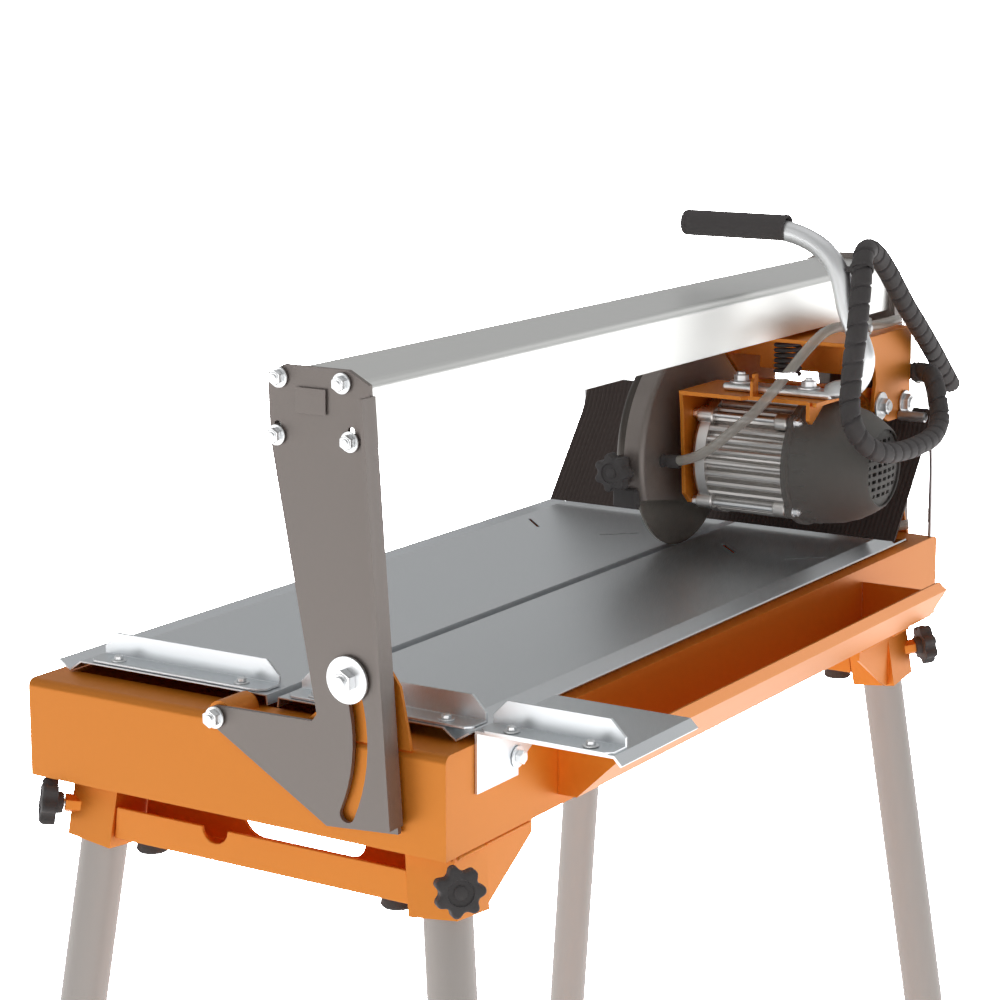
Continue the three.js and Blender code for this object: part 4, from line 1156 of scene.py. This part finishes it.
# ------------------------------------------------------------------------- carriage
@dataclass
class Carriage:
    """The carriage frame, its rollers, hinge bolts, spring and switch."""

    roller: tuple = ("front_left", "front_right", "rear_left", "rear_right")
    hinge: tuple = (858, 235)
    spring_place: tuple = (131, 735)
    spring_low: float = 273.0
    spring_high: float = 307.7
    spring_radius: float = 14.0
    spring_wire: float = 1.9
    spring_turns: float = 6.0

    def frame(self) -> None:
        """The frame with its cheek bolts and adjusting rod."""
        dress("carriage_frame", ORANGE, 0.8, "carriage_plate_frame")
        big = Bolt(14, 7, 14, 2.2, 6, 5, 2)
        bolts("cheek_bolts", big, [at(202.2, 800, 240)], RIGHT, "carriage")
        rod_end = rod(5, 0, 30, 32, 1.2)
        Form().join(rod_end, aimed(at(202, 846, 224), RIGHT)).piece("cheek_rod", STEEL, "carriage")

    def rollers(self) -> None:
        """The four rollers: plain wheels with rounded edges."""
        for place in self.roller:
            low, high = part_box(f"roller_{place}")
            centre = (low + high) / 2
            half, radius = (high.x - low.x) / 2 / MM, (high.z - low.z) / 2 / MM
            wheel = lathe([(5.3, -half), (radius - 4, -half), (radius - 1, -half + 0.8),
                           (radius, -half + 2.5),
                           (radius, half - 2.5), (radius - 1, half - 0.8), (radius - 4, half), (5.3, half),
                           (5.3, -half)], 48)
            Form().join(wheel, aimed(centre, RIGHT)).piece(f"wheel_{place}", BLACK, f"roller_{place}",
                                                           [f"roller_{place}"])

    def shaft(self) -> None:
        """The hinge shaft with a nut and a washer at each end."""
        y, z = self.hinge
        low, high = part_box("hinge_shaft")
        form = Form().join(rod(8, 3, (high.x - low.x) / MM - 3, 40),
                           aimed(Vector((low.x, at(0, y, 0).y, at(0, 0, z).z)), RIGHT))
        end = Bolt(17, 6, 13, 1.8, 2, 6, 1.5)
        form.join(end.form(), aimed(at(202.4, y, z), RIGHT))
        form.join(end.form(), aimed(at(45.6, y, z), -RIGHT))
        form.piece("hinge_shaft_and_nuts", ZINC, "carriage", ["hinge_shaft"])

    def spring(self) -> None:
        """The coil spring between the roof and the head."""
        x, y = self.spring_place
        reach = self.spring_radius - self.spring_wire
        steps = int(self.spring_turns * 28)
        line = []
        for i in range(steps + 1):
            turn = self.spring_turns * math.tau * i / steps
            height = self.spring_low + self.spring_wire + (self.spring_high - self.spring_low
                                                           - 2 * self.spring_wire) * i / steps
            line.append(at(x + reach * math.cos(turn), y + reach * math.sin(turn), height))
        coil = tube(line, self.spring_wire, 4).tidy().loose("return_spring", BLACK, smooth=60, weighted=False)
        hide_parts("head_spring")
        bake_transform(coil)

    def switch(self) -> None:
        """The switch box with its lid, screws, gland and rocker."""
        dress("switch_box", BLACK, 1.6, "switch_housing")
        dress("switch_rocker", BLACK, 0.5, "rocker_key")
        lid = [at(x, 903, z) for x in (117, 167) for z in (245, 295)]
        form = Form()
        for place in lid:
            form.join(lathe([(0, 0), (3, 0), (3, 0.9), (2.3, 1.6), (0, 1.6)], 24), aimed(place, BACK))
        form.piece("switch_housing_screws", STEEL, "carriage")

    def build(self) -> None:
        """Makes the carriage."""
        self.frame()
        self.rollers()
        self.shaft()
        self.spring()
        self.switch()


# ------------------------------------------------------------------------- head
@dataclass
class Head:
    """The bracket, motor, guard, blade and handle."""

    y: float = 726.0
    z: float = 193.0
    blade_x: float = 19.0
    blade_radius: float = 100.0
    motor_radius: float = 60.0
    fins: int = 32
    guard_radius: float = 110.0
    guard_wall: float = 2.6

    def centre(self, x: float) -> Matrix:
        """The matrix that lays a form along the blade's axis, with its origin at a place across."""
        return Matrix.Translation(at(x, self.y, self.z)) @ Matrix.Rotation(math.pi / 2, 4, "Y")

    def around(self, degrees: float, reach: float, x: float) -> Vector:
        """A point at an angle and a distance from the blade's axis."""
        turn = math.radians(degrees)
        return at(x, self.y + reach * math.cos(turn), self.z + reach * math.sin(turn))

    def bracket(self) -> None:
        """The folded motor bracket with its strap bolts."""
        dress("motor_bracket", ORANGE, 0.9, "motor_bracket_sheet")
        bolts("strap_bolts", Bolt(13, 6, 11, 1.8, 9, 4, 3), [at(103, 690, 270), at(176, 690, 270)], UP,
              "head")

    def motor(self) -> None:
        """The finned barrel, its end shield, the tie rods and their nuts."""
        form = Form().join(lathe([(9, 58), (40, 58), (44, 60), (54, 60), (58, 62), (61, 66), (61, 76.5),
                                  (40, 76.5),
                                  (9, 72), (9, 58)], 72), self.centre(0))
        steps = self.fins * 6
        barrel = Form()
        ring = bmesh.ops.create_circle(barrel.bm, segments=steps, radius=self.motor_radius * MM,
                                       cap_ends=True)
        for i, vert in enumerate(ring["verts"]):
            vert.co *= 1.0 if i % 6 in (0, 1) else 0.975 if i % 6 in (2, 5) else 0.89
        bmesh.ops.translate(barrel.bm, verts=ring["verts"], vec=(0, 0, 76 * MM))
        raised = bmesh.ops.extrude_face_region(barrel.bm, geom=list(barrel.bm.faces))["geom"]
        moved = [g for g in raised if isinstance(g, bmesh.types.BMVert)]
        bmesh.ops.translate(barrel.bm, verts=moved, vec=(0, 0, 83.7 * MM))
        form.join(barrel.tidy(), self.centre(0))
        for degrees in (45, 135, 225, 315):
            for low, high in ((62, 79), (146, 159.5)):
                lug = rod(8.5, 0, high - low, 32, 1.2)
                form.join(lug, aimed(self.around(degrees, 60, low), RIGHT))
        form.piece("finned_motor_case", CAST, "head", ["motor_housing"], smooth=30)
        ties = Form()
        nut = Bolt(8, 4.5, 5.4, 1.2, 2, 2.4, 2)
        for degrees in (45, 135, 225, 315):
            place = self.around(degrees, 62, 60)
            ties.join(rod(2.5, 0, 101, 20), aimed(place, RIGHT))
            ties.join(nut.form(), aimed(self.around(degrees, 62, 62), -RIGHT))
            ties.join(nut.form(), aimed(self.around(degrees, 62, 166.4), RIGHT))
        ties.piece("motor_tie_rods", ZINC, "head")
        frame["nodes"]["motor_shaft"].data.materials.clear()
        frame["nodes"]["motor_shaft"].data.materials.append(STEEL.material())

    def fan_cover(self) -> None:
        """The flared fan cover with its scalloped rim and its domed grille."""
        cup = lathe([(62, 160), (64, 160.6), (64, 166), (61.5, 167.5), (60.5, 184), (58, 203), (53, 219),
                     (47, 230),
                     (43, 236), (40, 240), (38.2, 241.5), (37.2, 240.8), (38.6, 237), (44.5, 228),
                     (50.5, 217),
                     (55.4, 202), (58, 184), (59, 168), (59.5, 160), (62, 160)], 96)
        for degrees in (45, 135, 225, 315):
            ear = rod(9, 160.4, 166.2, 36, 1.0)
            turn = math.radians(degrees)
            cup.join(ear, Matrix.Translation((-60 * math.sin(turn) * MM, 60 * math.cos(turn) * MM, 0)))
        for i in range(24):
            turn = math.tau * i / 24
            rib = Form()
            size = Matrix.Diagonal((1.6 * MM, 1.6 * MM, 17 * MM, 1))
            bmesh.ops.create_cube(rib.bm, size=1.0,
                                  matrix=Matrix.Translation((60.6 * MM, 0, 176 * MM)) @ size)
            cup.join(rib.soften(0.4), Matrix.Rotation(turn, 4, "Z"))
        Form().join(cup, self.centre(0)).piece("fan_hood", FAN_GREY, "head", ["fan_cover"], smooth=40)
        grille = Form()
        cells, span = 21, 78.0
        bmesh.ops.create_grid(grille.bm, x_segments=cells, y_segments=cells, size=span / 2 * MM)
        holes = []
        for face in grille.bm.faces:
            middle = face.calc_center_median() / MM
            column, row = (round((v + span / 2) / (span / cells) - 0.5) for v in (middle.x, middle.y))
            outside = middle.length > span / 2 - 1
            hole = column % 2 == 1 and row % 3 != 0 and middle.length < 33
            if outside or hole:
                holes.append(face)
        bmesh.ops.delete(grille.bm, geom=holes, context="FACES")
        for vert in grille.bm.verts:
            vert.co.z += (3.2 - 3.2 * (vert.co.length / (39 * MM)) ** 2) * MM
        bmesh.ops.recalc_face_normals(grille.bm, faces=grille.bm.faces)
        bmesh.ops.solidify(grille.bm, geom=list(grille.bm.faces), thickness=2.0 * MM)
        grille.tidy()
        Form().join(grille, self.centre(238.2)).piece("fan_grille", FAN_GREY, "head", smooth=25)

    def guard_half(self, profile: Sequence[Point], wall: float) -> Form:
        """A drum half from its profile, open below and with a wall of its own.

        Args:
            profile: Radius and place across of each point, from the middle to the open edge.
            wall: The wall's thickness, towards the inside.

        Returns:
            The form, in place.
        """
        form = Form().join(lathe(profile, 120), self.centre(0))
        start, end = at(0, 600, 160), at(0, 850, 118)
        normal = RIGHT.cross(end - start).normalized()
        everything = [*form.bm.verts, *form.bm.edges, *form.bm.faces]
        bmesh.ops.bisect_plane(form.bm, geom=everything, plane_co=start, plane_no=normal, clear_inner=True)
        bmesh.ops.solidify(form.bm, geom=list(form.bm.faces), thickness=wall * MM)
        return form.tidy()

    def guard(self) -> None:
        """The two halves of the blade guard, their clamp and the flap block below it."""
        r = self.guard_radius
        shell = self.guard_half([(24, 33), (70, 33), (72, 33.0), (r - 4, 33), (r - 1.4, 32), (r, 30),
                                 (r, 15.2)],
                                -self.guard_wall)
        shell.join(block(31, 51.7, 700, 752, 228, 240).soften(1.0))
        shell.piece("blade_guard_shell", GRAPHITE, "head", ["guard_shell"], smooth=35)
        cover = self.guard_half([(0, 1.6), (26, 1.6), (28, 2.8), (34, 2.8), (36, 1.6), (92, 1.6), (94, 3.2),
                                 (r - 8, 3.2), (r - 3, 4.2), (r - 0.6, 7), (r, 10), (r, 14.7)],
                                 self.guard_wall)
        cover.join(block(8, 14.7, 607, 620, 172, 200).soften(1.5))
        cover.join(block(8, 23, 607, 612, 172, 200).soften(1.2))
        cover.piece("blade_guard_cover", SATIN_GUARD, "head", ["guard_cover"], smooth=35)
        flap = block(4, 30, 611, 622, 148, 168).soften(2.4, 3)
        flap.piece("guard_flap_block", BLACK, "head")
        knob = StarKnob(19.5, 7, 8, 5, 12.5, 4, -12)
        knob.pieces("guard_star_knob", aimed(at(16, 603, 187), -BACK), "guard_clamp", "guard_knob")

    def blade(self) -> None:
        """The blade: a ground core and a thicker continuous rim."""
        r = self.blade_radius
        disc = lathe([(8.3, -0.8), (r - 8, -0.8), (r - 7.6, -1.1), (r - 0.3, -1.1), (r, -0.8), (r, 0.8),
                      (r - 0.3, 1.1), (r - 7.6, 1.1), (r - 8, 0.8), (8.3, 0.8), (8.3, -0.8)], 144)
        Form().join(disc, self.centre(self.blade_x)).piece("diamond_blade", BLADE_STEEL, "rotor", ["blade"])
        flange = lathe([(8.3, 12), (25, 12), (26, 12.8), (26, 17), (25.4, 17.8), (8.3, 17.8), (8.3, 12)], 64)
        form = Form().join(flange, self.centre(0))
        form.join(Bolt(20, 6, 13, 0.4, 2, 5, 0.5).form(), aimed(at(12, self.y, self.z), -RIGHT))
        form.piece("blade_clamp_flange", STEEL, "rotor", ["blade_flange"])

    def handle(self) -> None:
        """The bent tube, flattened into its strap, and the rubber grip."""
        points = ((199, 267), (206, 270.5), (213, 272), (220, 274.5), (227, 281), (232, 291), (233.5, 304),
                  (229, 319),
                  (221, 334), (214.5, 350), (210, 367), (205, 383), (196, 397), (183, 408), (166, 416),
                  (148, 420.5),
                  (132, 422.5), (120, 423))
        line = smooth_route([(x, 690, z) for x, z in points], 6)
        form = tube(line, 10, 10).tidy()
        flat_from = at(0, 0, 276).z
        for vert in form.bm.verts:
            near = max(0.0, min(1.0, (flat_from - vert.co.z) / (8 * MM)))
            middle = at(0, 690, 266.2)
            vert.co.z += (middle.z - vert.co.z) * 0.5 * near * (vert.co.x < at(214, 0, 0).x)
            vert.co.y += (vert.co.y - middle.y) * 0.25 * near
        form.join(block(88, 205, 677.5, 702.5, 262.4, 270).soften(3.0, 3))
        form.piece("bent_handle", ZINC, "head", ["handle_tube"], smooth=50)
        grip = lathe([(0, 38.2), (9.5, 38.2), (12, 39.4), (12.5, 41.5), (12.5, 44), (12.1, 44.6),
                      (12.5, 45.2),
                      (12.5, 146), (12.9, 147), (12.9, 149.4), (12.2, 150), (10.3, 150), (10.3, 60), (0, 60)],
                      64)
        place = Matrix.Translation(at(0, 690, 423.5)) @ Matrix.Rotation(math.pi / 2, 4, "Y")
        Form().join(grip, place).piece("rubber_grip", GRIP, "head", ["handle_grip"], smooth=45)

    def build(self) -> None:
        """Makes the head."""
        self.bracket()
        self.motor()
        self.fan_cover()
        self.guard()
        self.blade()
        self.handle()


def main() -> None:
    """Makes the studio, the lines and the saw, in that order."""
    logging.basicConfig(level=logging.INFO, format="%(name)s %(message)s")
    studio = Studio()
    studio.camera()
    Lines().build()
    for part in (Base(), Legs(), Bridge(), Carriage(), Head()):
        part.build()
    studio.light()
    studio.floor()


if __name__ == "__main__":
    main()
